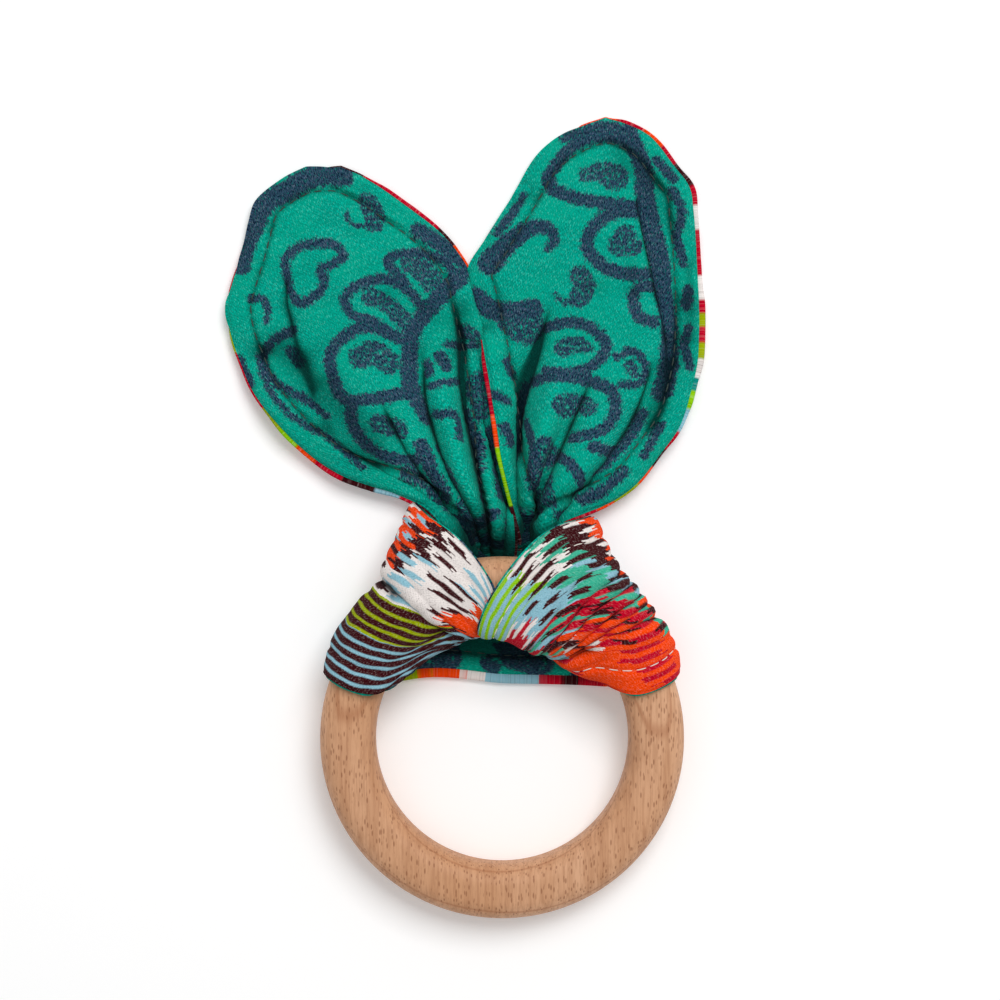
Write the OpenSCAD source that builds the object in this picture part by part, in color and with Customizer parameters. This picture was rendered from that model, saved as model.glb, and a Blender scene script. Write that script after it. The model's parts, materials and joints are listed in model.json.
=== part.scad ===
// Teething ring: a beech ring with one long two-layer cloth strip tied to it by a lark's head
// hitch. The strip's leaf-shaped ends stand out as two ears. The toy lies on its back: the
// table is z = 0, +Z is up, +Y points from the ring to the ears, and the origin is on the
// table under the centre of the ring.

/* [Ring] */
// Outer diameter of the wooden ring
ring_od = 70; // [66:0.5:74]
// Width of the ring's section, across the ring
tube_w = 10.7; // [9.6:0.1:11.5]
// Thickness of the ring's section, along its axis
tube_h = 10.4; // [9.6:0.1:11.5]
// Radius on the section's corners
tube_round = 4.2; // [3:0.1:4.6]

/* [Cloth] */
// Thickness of the printed flannel where it lies flat
flannel_t = 0.9; // [0.6:0.05:1.1]
// Thickness of the plaid cotton where it lies flat
plaid_t = 0.8; // [0.5:0.05:0.9]
// Thickness of one gathered panel in the hitch
gathered_t = 1.25; // [0.9:0.05:1.4]
// Clearance between the cloth and the wood
slip_gap = 0.3; // [0.2:0.05:0.4]
// How far the plaid rim shows past the flannel at an edge
rim_w = 0.6; // [0.3:0.1:1]

/* [Hitch] */
// Distance from the ring's centre to the lower hem of the band behind it
band_hem_y = 10.4; // [9:0.2:14]
// Distance from the ring's centre to the upper edge of that band
band_top_y = 40; // [37:0.5:40.5]
// Half of the band's length along its lower hem
band_half = 24; // [20:0.5:24]
// Angle, from +X about the ring, of the hem where the cloth leaves the ring
wrap_low = 19; // [17:1:24]
// Angle where the wrap ends and the gathered arm begins
wrap_mid = 50; // [49:1:54]
// Angle where the cloth around the ring's outer edge ends
wrap_top = 72; // [64:1:76]
// Half of the width of the two gathered necks behind the ring
neck_half = 8.8; // [7:0.1:9]

/* [Ears] */
// Height of the cloth's underside where the ears leave the hitch
root_z = 2.9; // [2.2:0.1:3.4]
// How far the tips of the ears curl up off the table
tip_lift = 2.4; // [0:0.2:4]
// Number of pleats that fan out on each ear
pleats = 4; // [0:1:4]
// Length of the pleats
pleat_l = 34; // [20:1:36]
// Radius of a pleat at the hitch
pleat_r = 1.5; // [0.8:0.1:1.7]

/* [Stitching] */
// Distance of the topstitching from the edge
stitch_inset = 4.5; // [3:0.1:6]
// Length of one stitch
stitch_l = 1.9; // [1.2:0.1:2]
// Distance from one stitch to the next
stitch_pitch = 2.6; // [2.5:0.1:4]
// Diameter of the thread
thread_d = 0.4; // [0.3:0.05:0.5]

/* [Hidden] */
$fn = 96;

beech = [0.80, 0.62, 0.46];
teal = [0.05, 0.62, 0.50];
plaid_left = [0.45, 0.10, 0.14];
plaid_right = [0.95, 0.36, 0.08];
plaid_mixed = [0.85, 0.20, 0.25];
thread_light = [0.93, 0.90, 0.86];
thread_teal = [0.10, 0.42, 0.38];

ring_r = (ring_od - tube_w) / 2;
corner_x = tube_w / 2 - tube_round;
corner_z = tube_h / 2 - tube_round;

// The ring leans on the cloth behind its upper side and touches the table at its lower edge.
cloth_lift = 4.7;
tilt = asin(cloth_lift / (2 * ring_r + corner_x));
ring_z = tube_round + corner_z * cos(tilt) + (ring_r + corner_x) * sin(tilt);

band_t = 0.6;
front_z = tube_h / 2 + slip_gap;
wrap_inner = slip_gap;
wrap_mid_t = slip_gap + gathered_t;
wrap_outer = slip_gap + 2 * gathered_t;
neck_end = 41;
neck_gap = 0.45;
far = 200;

// The line where each ear begins, and the height over which its root comes down to the table.
ear_start = 42.4;
settle_y = 58;
curl_y = 96;
ear_end = 124;

// Outlines of the ears, seen from above. Each runs anticlockwise, from the hitch up one edge,
// round the tip and back down the other.
left_leaf = [
    [-0.8, 41], [-0.9, 52], [-3.4, 76], [-6.4, 90], [-13, 98.5], [-22, 105.5], [-30, 110.4],
    [-38, 110.6], [-46, 105.5], [-49.5, 98], [-53.4, 84], [-51.4, 73.5], [-46, 63.5],
    [-36, 53.6], [-25, 48.6], [-14.5, 46], [-9, 41]
];
right_leaf = [
    [9.5, 41], [17, 45], [25, 48.4], [31, 55.4], [36, 64], [38.4, 74], [38.8, 84], [38.2, 94],
    [36.6, 106], [31.5, 114.5], [22, 119.4], [13.5, 117.6], [7, 112.4], [2, 104.4],
    [-2.4, 97], [-5, 90.2], [-2.3, 76], [0, 52], [0.7, 41]
];

// A closed smooth curve through the points p, with n steps between neighbours.
function wrap_at(p, i) = p[(i + len(p)) % len(p)];
function bend(a, b, c, d, t) =
    0.5 * (2 * b + (c - a) * t + (2 * a - 5 * b + 4 * c - d) * t * t
           + (3 * b - a - 3 * c + d) * t * t * t);
function smooth(p, n) = [
    for (i = [0 : len(p) - 1], k = [0 : n - 1])
        bend(wrap_at(p, i - 1), p[i], wrap_at(p, i + 1), wrap_at(p, i + 2), k / n)
];

// The closed anticlockwise curve p moved by d to its inner side.
function unit(v) = v / norm(v);
function inner_side(v) = [-v.y, v.x];
function inset(p, d) = [
    for (i = [0 : len(p) - 1])
        p[i] + d * inner_side(unit(wrap_at(p, i + 1) - wrap_at(p, i - 1)))
];

// Distances along the closed curve p, and the point and direction at the distance s.
function lengths(p) = [
    for (i = 0, s = 0; i <= len(p); s = s + norm(wrap_at(p, i + 1) - wrap_at(p, i)), i = i + 1) s
];
function along(p, l, s) = [
    lookup(s, [for (i = [0 : len(p)]) [l[i], wrap_at(p, i).x]]),
    lookup(s, [for (i = [0 : len(p)]) [l[i], wrap_at(p, i).y]])
];

// Height of an ear's underside at the distance y from the ring's centre.
function ease(t) = (1 - cos(180 * max(0, min(1, t)))) / 2;
function under(y) =
    root_z * (1 - ease((y - ear_start) / (settle_y - ear_start)))
    + tip_lift * pow(max(0, (y - curl_y) / (ear_end - curl_y)), 2);

module in_ring_frame() {
    translate([0, 0, ring_z])
        rotate([tilt, 0, 0])
            children();
}

module right_side() {
    mirror([1, 0, 0])
        children();
}

// The ring's section, grown by g on every side.
module tube_section(g) {
    r = tube_round + g;
    translate([ring_r, 0]) {
        square([2 * corner_x, tube_h + 2 * g], center = true);
        square([tube_w + 2 * g, 2 * corner_z], center = true);
        for (x = [-corner_x, corner_x], z = [-corner_z, corner_z])
            translate([x, z])
                circle(r);
    }
}

module cloth_section(inner, outer) {
    difference() {
        tube_section(outer);
        tube_section(inner);
    }
}

// Turns a section about the ring's axis, from the angle a to the angle b.
module sweep(a, b) {
    rotate([0, 0, a])
        rotate_extrude(angle = b - a)
            children();
}

module ring() {
    color(beech)
        in_ring_frame()
            rotate_extrude()
                tube_section(0);
}

// The middle of the strip, lying flat on the table behind the ring.
module band_outline(edge) {
    limb = ring_r - edge;
    intersection() {
        translate([-band_half, band_hem_y + edge])
            square([2 * band_half, band_top_y - band_hem_y - 2 * edge]);
        union() {
            circle(limb);
            polygon([
                [0, 0],
                [far * cos(180 - wrap_top - 1), far * sin(wrap_top + 1)],
                [far * cos(wrap_top + 1), far * sin(wrap_top + 1)]
            ]);
        }
    }
}

module band_plaid() {
    color(plaid_mixed)
        linear_extrude(band_t)
            band_outline(0);
}

module band_flannel() {
    color(teal)
        translate([0, 0, band_t])
            linear_extrude(band_t)
                band_outline(rim_w);
}

module band_topstitch() {
    row = band_half - rim_w - stitch_l;
    color(thread_teal)
        for (x = [-row : stitch_pitch : row])
            translate([x - stitch_l / 2, band_hem_y + 3, 2 * band_t])
                rotate([0, 90, 0])
                    cylinder(d = thread_d, h = stitch_l, $fn = 16);
}

// The cloth round the outside of the ring: over the front down to the hem, and behind.
module wrap(inner, outer, edge) {
    low = 180 - wrap_low - edge;
    mid = 180 - wrap_mid;
    top = 180 - wrap_top + edge;
    in_ring_frame() {
        sweep(mid, low)
            difference() {
                cloth_section(inner, outer);
                translate([0, -far])
                    square([ring_r, far + 1]);
            }
        sweep(top, mid)
            difference() {
                cloth_section(inner, outer);
                translate([0, -far])
                    square([ring_r, 2 * far]);
                translate([0, front_z])
                    square(far);
            }
    }
}

module left_wrap_plaid() {
    color(plaid_left)
        wrap(wrap_mid_t, wrap_outer, 0);
}

module left_wrap_flannel() {
    color(teal)
        wrap(wrap_inner, wrap_mid_t, 1);
}

module right_wrap_plaid() {
    color(plaid_right)
        right_side()
            wrap(wrap_mid_t, wrap_outer, 0);
}

module right_wrap_flannel() {
    color(teal)
        right_side()
            wrap(wrap_inner, wrap_mid_t, 1);
}

// One row of stitches across the front of a wrap, beside its hem.
module wrap_topstitch() {
    row = 180 - wrap_low - asin(stitch_inset / ring_r);
    low = ring_r - corner_x - 1.4;
    in_ring_frame()
        rotate([0, 0, row])
            for (k = [0 : 1])
                translate([low + k * stitch_pitch, 0, tube_h / 2 + wrap_outer])
                    rotate([0, 90, 0])
                        cylinder(d = thread_d, h = stitch_l, $fn = 16);
}

module left_wrap_topstitch() {
    color(thread_light)
        wrap_topstitch();
}

module right_wrap_topstitch() {
    color(thread_light)
        right_side()
            wrap_topstitch();
}

// A gathered arm crosses the front of the ring from its wrap to the ring's inner edge.
module arm(level, edge) {
    out = edge / 2;
    in_ring_frame()
        translate([0, 0, front_z + level * gathered_t])
            linear_extrude(gathered_t)
                polygon([
                    [-16, 40.5 - edge], [-20.5 + out, 37], [-23.4 + out, 29], [-14.2, 17.6 + out],
                    [-8, 18.5 + edge], [-1 - out, 20 + edge], [-0.5 - out, 29.5],
                    [-4 - out, 35.5], [-10, 40 - edge]
                ]);
}

module left_arm_plaid() {
    color(plaid_left)
        arm(1, 0);
}

module left_arm_flannel() {
    color(teal)
        arm(0, rim_w);
}

module right_arm_plaid() {
    color(plaid_right)
        right_side()
            arm(1, 0);
}

module right_arm_flannel() {
    color(teal)
        right_side()
            arm(0, rim_w);
}

// A gathered neck goes down past the ring's inner edge and up behind it, towards its ear. Its
// panels lie between the distances near and deep from the wood.
module neck(near, deep) {
    wall_y = sqrt(pow(ring_r - tube_w / 2, 2) - pow(neck_half, 2)) - slip_gap;
    in_ring_frame()
        translate([-neck_half, 0, 0])
            rotate([90, 0, 90])
                linear_extrude(neck_half - neck_gap)
                    polygon([
                        [wall_y - deep, front_z],
                        [wall_y - deep, -front_z - deep],
                        [neck_end, -front_z - deep],
                        [neck_end, -front_z - near],
                        [wall_y - near, -front_z - near],
                        [wall_y - near, front_z]
                    ]);
}

module left_neck_plaid() {
    color(plaid_left)
        neck(gathered_t, 2 * gathered_t);
}

module left_neck_flannel() {
    color(teal)
        neck(0, gathered_t);
}

module right_neck_plaid() {
    color(plaid_right)
        right_side()
            neck(gathered_t, 2 * gathered_t);
}

module right_neck_flannel() {
    color(teal)
        right_side()
            neck(0, gathered_t);
}

// Side view of one layer of an ear, from the height low to the height high over its underside.
module layer_profile(low, high) {
    steps = 18;
    ys = [for (i = [0 : steps]) ear_start + (ear_end - ear_start) * i / steps];
    polygon(concat(
        [for (y = ys) [y, under(y) + low]],
        [for (i = [steps : -1 : 0]) [ys[i], under(ys[i]) + high]]
    ));
}

module ear_layer(leaf, low, high) {
    intersection() {
        linear_extrude(3 * far, center = true)
            polygon(leaf);
        rotate([90, 0, 90])
            linear_extrude(far, center = true)
                layer_profile(low, high);
    }
}

// Pleats fan out from the root, over the cloth inside the outline leaf. The direction of the
// fan's middle is lean, from +Y to -X.
module pleat_fan(leaf, root_x, lean, spread) {
    z = root_z + plaid_t + flannel_t - 0.5;
    intersection() {
        ear_layer(leaf, plaid_t + flannel_t / 2, plaid_t + flannel_t + 3 * pleat_r);
        union() {
            for (i = [0 : 1 : pleats - 1])
                translate([root_x * (i + 0.5) / 4, ear_start + 1.8, z])
                    rotate([-94, 0, lean + spread * (i - 1.5)])
                        cylinder(r1 = pleat_r, r2 = pleat_r / 3, h = pleat_l, $fn = 24);
        }
    }
}

// A row of stitches on the curve path, h above the underside, from the distance low upward.
module stitch_row(path, h, low, d) {
    l = lengths(path);
    count = floor(l[len(path)] / stitch_pitch);
    for (i = [0 : count - 1]) {
        a = along(path, l, i * stitch_pitch);
        b = along(path, l, i * stitch_pitch + stitch_l);
        if (min(a.y, b.y) > low) {
            rise = under(b.y) - under(a.y);
            flat = norm(b - a);
            translate([a.x, a.y, under(a.y) + h])
                rotate([0, 90 - atan(rise / flat), atan2(b.y - a.y, b.x - a.x)])
                    cylinder(d = d, h = norm([flat, rise]), $fn = 16);
        }
    }
}

left_edge = smooth(left_leaf, 4);
right_edge = smooth(right_leaf, 4);

module left_ear_plaid() {
    color(plaid_left)
        ear_layer(left_edge, 0, plaid_t);
}

module left_ear_flannel() {
    color(teal) {
        ear_layer(inset(left_edge, rim_w), plaid_t, plaid_t + flannel_t);
        pleat_fan(inset(left_edge, rim_w), -8, 26, 9);
    }
}

module left_ear_topstitch() {
    color(thread_teal)
        stitch_row(inset(left_edge, stitch_inset), plaid_t + flannel_t, 50, thread_d);
}

module left_ear_seam_thread() {
    color(thread_light)
        stitch_row(inset(left_edge, 1.4), plaid_t, 46, thread_d / 2);
}

module right_ear_plaid() {
    color(plaid_right)
        ear_layer(right_edge, 0, plaid_t);
}

module right_ear_flannel() {
    color(teal) {
        ear_layer(inset(right_edge, rim_w), plaid_t, plaid_t + flannel_t);
        pleat_fan(inset(right_edge, rim_w), 9, -14, -8);
    }
}

module right_ear_topstitch() {
    color(thread_teal)
        stitch_row(inset(right_edge, stitch_inset), plaid_t + flannel_t, 50, thread_d);
}

module right_ear_seam_thread() {
    color(thread_light)
        stitch_row(inset(right_edge, 1.4), plaid_t, 46, thread_d / 2);
}

ring();
band_plaid();
band_flannel();
band_topstitch();
left_wrap_plaid();
left_wrap_flannel();
left_wrap_topstitch();
right_wrap_plaid();
right_wrap_flannel();
right_wrap_topstitch();
left_arm_plaid();
left_arm_flannel();
right_arm_plaid();
right_arm_flannel();
left_neck_plaid();
left_neck_flannel();
right_neck_plaid();
right_neck_flannel();
left_ear_plaid();
left_ear_flannel();
left_ear_topstitch();
left_ear_seam_thread();
right_ear_plaid();
right_ear_flannel();
right_ear_topstitch();
right_ear_seam_thread();
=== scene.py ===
import json
import math

import bpy
import numpy as np
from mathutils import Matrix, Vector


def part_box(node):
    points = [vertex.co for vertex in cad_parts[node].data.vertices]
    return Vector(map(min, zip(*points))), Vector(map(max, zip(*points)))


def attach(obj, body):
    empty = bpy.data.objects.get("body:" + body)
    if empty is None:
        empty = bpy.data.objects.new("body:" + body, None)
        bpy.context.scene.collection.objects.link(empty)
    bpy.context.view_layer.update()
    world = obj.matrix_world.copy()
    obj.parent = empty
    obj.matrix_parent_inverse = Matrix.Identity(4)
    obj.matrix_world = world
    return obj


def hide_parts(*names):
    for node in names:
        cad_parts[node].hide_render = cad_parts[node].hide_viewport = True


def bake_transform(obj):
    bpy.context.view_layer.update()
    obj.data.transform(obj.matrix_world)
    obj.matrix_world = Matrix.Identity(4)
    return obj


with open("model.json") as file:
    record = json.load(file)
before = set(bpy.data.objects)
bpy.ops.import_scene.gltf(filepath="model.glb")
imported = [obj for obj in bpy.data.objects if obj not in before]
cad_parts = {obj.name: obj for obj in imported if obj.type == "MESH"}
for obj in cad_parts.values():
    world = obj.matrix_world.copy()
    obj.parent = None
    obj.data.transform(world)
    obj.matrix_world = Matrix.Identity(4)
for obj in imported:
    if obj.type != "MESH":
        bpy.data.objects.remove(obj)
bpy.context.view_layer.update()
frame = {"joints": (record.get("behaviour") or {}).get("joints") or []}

# A bunny-ear teething ring: a beech ring and one long two-layer strip of cloth, plaid cotton
# on one face and printed flannel on the other, tied to the ring with a lark's head hitch.
# Shapes are worked out in millimetres in the CAD frame and made into meshes in metres.

MM = 0.001

# ---------------------------------------------------------------- sizes, in millimetres
TURN = next(j for j in frame["joints"] if j["name"] == "ring_turn")
RING_CENTRE = np.array(TURN["pos_m"]) / MM
RING_AXIS = np.array(TURN["axis"], float)
RING_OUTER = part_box("ring")[1][0] / MM

# The ring's section, a rounded rectangle: its width, its height and its corners' radius.
TUBE_WIDE = 10.7
TUBE_THICK = 10.4
TUBE_ROUND = 4.2
TUBE_HALF = np.array([TUBE_WIDE, TUBE_THICK]) / 2 - TUBE_ROUND
RING_MID = RING_OUTER - TUBE_WIDE / 2

# The two cloths' thickness, and the strip's width.
FLANNEL = 0.75
COTTON = 0.55
STRIP_W = 36.0

# The row of stitches round the strip's edge: how far in it runs, from one stitch to the next,
# a stitch's length and its thread. The seam inside the ears' edges has a thread of its own,
# given by its radius.
STITCH_IN = 4.5
STITCH_PITCH = 2.7
STITCH_LONG = 2.0
THREAD = 0.26
SEAM_IN = 1.5
SEAM_LONG = 1.6
SEAM_THREAD = 0.09

# The plaid's lines and its single yarns, from one to the next.
LINE_PITCH = 1.9
YARN_PITCH = 0.32

# The height of an ear's middle surface at its sewn edge.
EDGE_HEIGHT = 1.3

# How much bolder than its drawn strokes the flannel's print is.
PRINT_BOLD = 1.16

# How finely the shapes are made: the ring's points around it and about its section, the rows
# and columns of an ear and of half the strip, and the share of these that is used.
RING_GRID = (320, 72)
SMOOTHNESS = 1.0
EAR_GRID = (int(215 * SMOOTHNESS), int(121 * SMOOTHNESS))
HITCH_GRID = (int(300 * SMOOTHNESS), int(84 * SMOOTHNESS))


# ---------------------------------------------------------------- small maths
def unit(v):
    return v / np.maximum(np.linalg.norm(v, axis=-1, keepdims=True), 1e-9)


def step(x, low, high):
    """0 below low, 1 above high and smooth between them."""
    t = np.clip((x - low) / (high - low), 0, 1)
    return t * t * (3 - 2 * t)


def chords(points):
    """Distance along a polyline at each of its points, from 0 to 1, and its whole length."""
    s = travelled(points)
    return s / s[-1], s[-1]


def curve(points, t, knots=None):
    """A smooth curve through the points, at the places t. Knots default to chord lengths."""
    p = np.array(points, float)
    k = chords(p)[0] if knots is None else np.array(knots, float)
    m = np.empty_like(p)
    m[1:-1] = (p[2:] - p[:-2]) / (k[2:] - k[:-2]).reshape(-1, *[1] * (p.ndim - 1))
    m[0] = (p[1] - p[0]) / (k[1] - k[0])
    m[-1] = (p[-1] - p[-2]) / (k[-1] - k[-2])
    t = np.asarray(t, float)
    i = np.clip(np.searchsorted(k, t, side="right") - 1, 0, len(k) - 2)
    shape = t.shape + (1,) * (p.ndim - 1)
    h = (k[i + 1] - k[i]).reshape(shape)
    x = ((t - k[i]) / (k[i + 1] - k[i])).reshape(shape)
    return (
        p[i] * (2 * x**3 - 3 * x**2 + 1)
        + m[i] * h * (x**3 - 2 * x**2 + x)
        + p[i + 1] * (3 * x**2 - 2 * x**3)
        + m[i + 1] * h * (x**3 - x**2)
    )


def ripple(a, b, wave, seed):
    """Smooth irregular waves over the plane (a, b), about as long as wave, from -1 to 1."""
    rng = np.random.default_rng(seed)
    total = np.zeros(np.broadcast(a, b).shape)
    count = 9
    for _ in range(count):
        way = rng.uniform(0, 2 * math.pi)
        k = 2 * math.pi / (wave * rng.uniform(0.7, 1.5))
        total += np.sin(k * (a * math.cos(way) + b * math.sin(way)) + rng.uniform(0, 2 * math.pi))
    return total / math.sqrt(count) / 1.5


def grid_normals(p):
    """Unit normals of a grid of points, along (first axis) x (second axis)."""
    return unit(np.cross(np.gradient(p, axis=0), np.gradient(p, axis=1)))


def travelled(p, axis=0):
    """The distance from the start of each line of a grid of points."""
    gone = np.cumsum(np.linalg.norm(np.diff(p, axis=axis), axis=-1), axis=axis)
    return np.concatenate([np.zeros_like(gone.take([0], axis)), gone], axis)


def blur(field, times):
    """Averages a grid with its neighbours; its borders stay."""
    f = field.copy()
    for _ in range(times):
        for axis in (0, 1):
            g = np.moveaxis(f, axis, 0)
            g[1:-1] = (g[:-2] + 2 * g[1:-1] + g[2:]) / 4
    return f


# ---------------------------------------------------------------- the ring's frame and wood
RING_X = np.array([1.0, 0.0, 0.0])
RING_Y = np.cross(RING_AXIS, RING_X)
RING_BASE = np.array([RING_X, RING_Y, RING_AXIS])


def to_ring(p):
    return (p - RING_CENTRE) @ RING_BASE.T


def from_ring(q):
    return q @ RING_BASE + RING_CENTRE


def off_wood(p, clear):
    """Moves points that are nearer than clear to the ring's wood straight out to clear."""
    q = to_ring(p)
    around = np.hypot(q[..., 0], q[..., 1])
    out = np.stack([q[..., 0] / around, q[..., 1] / around, np.zeros_like(around)], -1)
    across = around - RING_MID
    section = np.stack([across, q[..., 2]], -1)
    beyond = np.abs(section) - TUBE_HALF
    outside = np.maximum(beyond, 0)
    distance = np.linalg.norm(outside, axis=-1) + np.minimum(beyond.max(-1), 0) - TUBE_ROUND
    deep = (beyond.max(-1) <= 0)[..., None]
    flat_way = np.where(beyond[..., :1] > beyond[..., 1:], [1.0, 0.0], [0.0, 1.0])
    way = np.where(deep, flat_way, unit(outside)) * np.where(section < 0, -1.0, 1.0)
    push = np.maximum(clear - distance, 0)[..., None]
    moved = q + push * (way[..., :1] * out + way[..., 1:] * np.array([0, 0, 1.0]))
    return from_ring(moved)


# ---------------------------------------------------------------- mesh making
# How a field's values are kept on a mesh, by how many numbers each point has.
KEPT_AS = {1: ("FLOAT", "value"), 3: ("FLOAT_VECTOR", "vector"), 4: ("FLOAT_COLOR", "color")}


def make_mesh(name, verts, faces, fields=None):
    """An object from points in millimetres, with named numbers, vectors or colours on them."""
    mesh = bpy.data.meshes.new(name)
    mesh.from_pydata((np.asarray(verts) * MM).tolist(), [], faces)
    for key, values in (fields or {}).items():
        kind, part = KEPT_AS[values.shape[-1]]
        kept = mesh.attributes.new(key, kind, "POINT")
        kept.data.foreach_set(part, values.astype(np.float32).ravel())
    mesh.shade_smooth()
    mesh.validate()
    made = bpy.data.objects.new(name, mesh)
    bpy.context.scene.collection.objects.link(made)
    return made


def grid_faces(rows, cols, start=0, flip=False, wrap=False):
    """Quads over a grid of points numbered row by row; wrap joins its last column to its first."""
    i, j = np.meshgrid(np.arange(rows - 1), np.arange(cols if wrap else cols - 1), indexing="ij")
    n = (j + 1) % cols
    quads = np.stack([i * cols + j, i * cols + n, (i + 1) * cols + n, (i + 1) * cols + j], -1)
    quads = quads.reshape(-1, 4) + start
    return (quads[:, ::-1] if flip else quads).tolist()


def border(rows, cols):
    """Row and column numbers round a grid's border, in one closed loop."""
    i = np.concatenate([np.zeros(cols - 1), np.arange(rows - 1),
                        np.full(cols - 1, rows - 1), np.arange(rows - 1, 0, -1)]).astype(int)
    j = np.concatenate([np.arange(cols - 1), np.full(rows - 1, cols - 1),
                        np.arange(cols - 1, 0, -1), np.zeros(rows - 1)]).astype(int)
    return i, j


def shell(name, face, back, lips, fields):
    """A closed skin: the grid face, the grid back, and the rows lips that join their borders."""
    rows, cols = face.shape[:2]
    i, j = border(rows, cols)
    loop = len(i)
    count = rows * cols
    verts = np.concatenate([face.reshape(-1, 3), back.reshape(-1, 3), *lips])
    faces = grid_faces(rows, cols, flip=True) + grid_faces(rows, cols, count)
    rings = [i * cols + j] + [2 * count + k * loop + np.arange(loop) for k in range(len(lips))]
    rings.append(count + i * cols + j)
    for a, b in zip(rings[:-1], rings[1:]):
        faces += np.stack([a, np.roll(a, -1), np.roll(b, -1), b], -1).tolist()

    def spread(value):
        flat = value.reshape(count, -1)
        edge = value[i, j].reshape(loop, -1)
        return np.concatenate([flat, flat] + [edge] * len(lips))

    return make_mesh(name, verts, faces, {key: spread(v) for key, v in fields.items()})


def tube_mesh(name, paths, radius, sides=6):
    """One mesh of many short tubes, each along its own path, with closed round ends."""
    a = np.linspace(0, 2 * math.pi, sides, endpoint=False)[None, :, None]
    verts, faces = [], []
    for path in paths:
        way = unit(np.gradient(path, axis=0))
        side = unit(np.cross(way, [0.13, 0.29, 1.0]))
        up = np.cross(side, way)
        rings = len(path)
        size = radius * np.sqrt(np.clip(1 - np.linspace(-0.94, 0.94, rings) ** 6, 0.05, 1))
        start = len(verts) * rings * sides
        verts.append(path[:, None] + size[:, None, None] * (
            np.cos(a) * side[:, None] + np.sin(a) * up[:, None]))
        faces += grid_faces(rings, sides, start, wrap=True)
        faces.append([start + n for n in range(sides)][::-1])
        faces.append([start + (rings - 1) * sides + n for n in range(sides)])
    return make_mesh(name, np.concatenate(verts).reshape(-1, 3), faces)


# ---------------------------------------------------------------- stitches
def stitch_paths(p, n, long=STITCH_LONG, rise=0.04):
    """Paths of single stitches along the points p, bowed out along their normals n."""
    s = travelled(p)
    bow = np.cos(np.linspace(-1.3, 1.3, 7))
    paths = []
    for at in np.arange(STITCH_PITCH, s[-1] - STITCH_PITCH, STITCH_PITCH):
        t = at + np.linspace(-0.5, 0.5, 7) * long
        spot = np.stack([np.interp(t, s, p[:, k]) for k in range(3)], -1)
        up = unit(np.stack([np.interp(t, s, n[:, k]) for k in range(3)], -1))
        paths.append(spot + up * (rise + 0.28 * (bow - 1))[:, None])
    return paths


def sample(grid, places):
    """Values of a grid at fractional (row, column) places."""
    r = np.clip(places[:, 0], 0, grid.shape[0] - 1.001)
    c = np.clip(places[:, 1], 0, grid.shape[1] - 1.001)
    i, j = r.astype(int), c.astype(int)
    a, b = (r - i)[:, None], (c - j)[:, None]
    return ((1 - a) * (1 - b) * grid[i, j] + a * (1 - b) * grid[i + 1, j]
            + (1 - a) * b * grid[i, j + 1] + a * b * grid[i + 1, j + 1])


# ---------------------------------------------------------------- the print on the flannel
def blobs(p, centres, radii):
    """Signed distance from the points p to a row of discs."""
    best = np.full(p.shape[:-1], 1e3)
    for c, r in zip(centres, radii):
        best = np.minimum(best, np.linalg.norm(p - np.asarray(c), axis=-1) - r)
    return best


def brush(p, points, width, taper=0.0):
    """Signed distance to a brush stroke through the points, thinner at its end by taper."""
    t = np.linspace(0, 1, 6 * len(points))
    return blobs(p, curve(points, t), width / 2 * (1 - taper * t))


def petal(p, foot, angle, long, wide):
    """An outlined teardrop with a smaller solid one inside it, its point at foot."""
    way = np.array([math.cos(math.radians(angle)), math.sin(math.radians(angle))])
    t = np.linspace(0, 1, 14)
    body = blobs(p, foot + np.outer(t * (long - wide / 2), way), wide / 2 * t**0.8)
    rim = np.abs(body + 0.9) - 0.85
    heart = np.array(foot) + way * long * 0.36
    t = t[3:]
    core = blobs(p, heart + np.outer(t * long * 0.3, way), wide * 0.24 * t**0.7)
    return np.minimum(rim, core)


def comma(p, head, angle, size):
    """A solid drop with a thin curled tail."""
    t = np.linspace(0, 1, 16)
    turn = math.radians(angle) + 2.6 * t
    reach = size * (0.25 + 0.75 * t)
    tail = head + np.stack([np.cos(turn) * reach, np.sin(turn) * reach], -1)
    return np.minimum(blobs(p, tail, size * (0.4 - 0.3 * t)), blobs(p, [head], [size * 0.5]))


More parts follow.
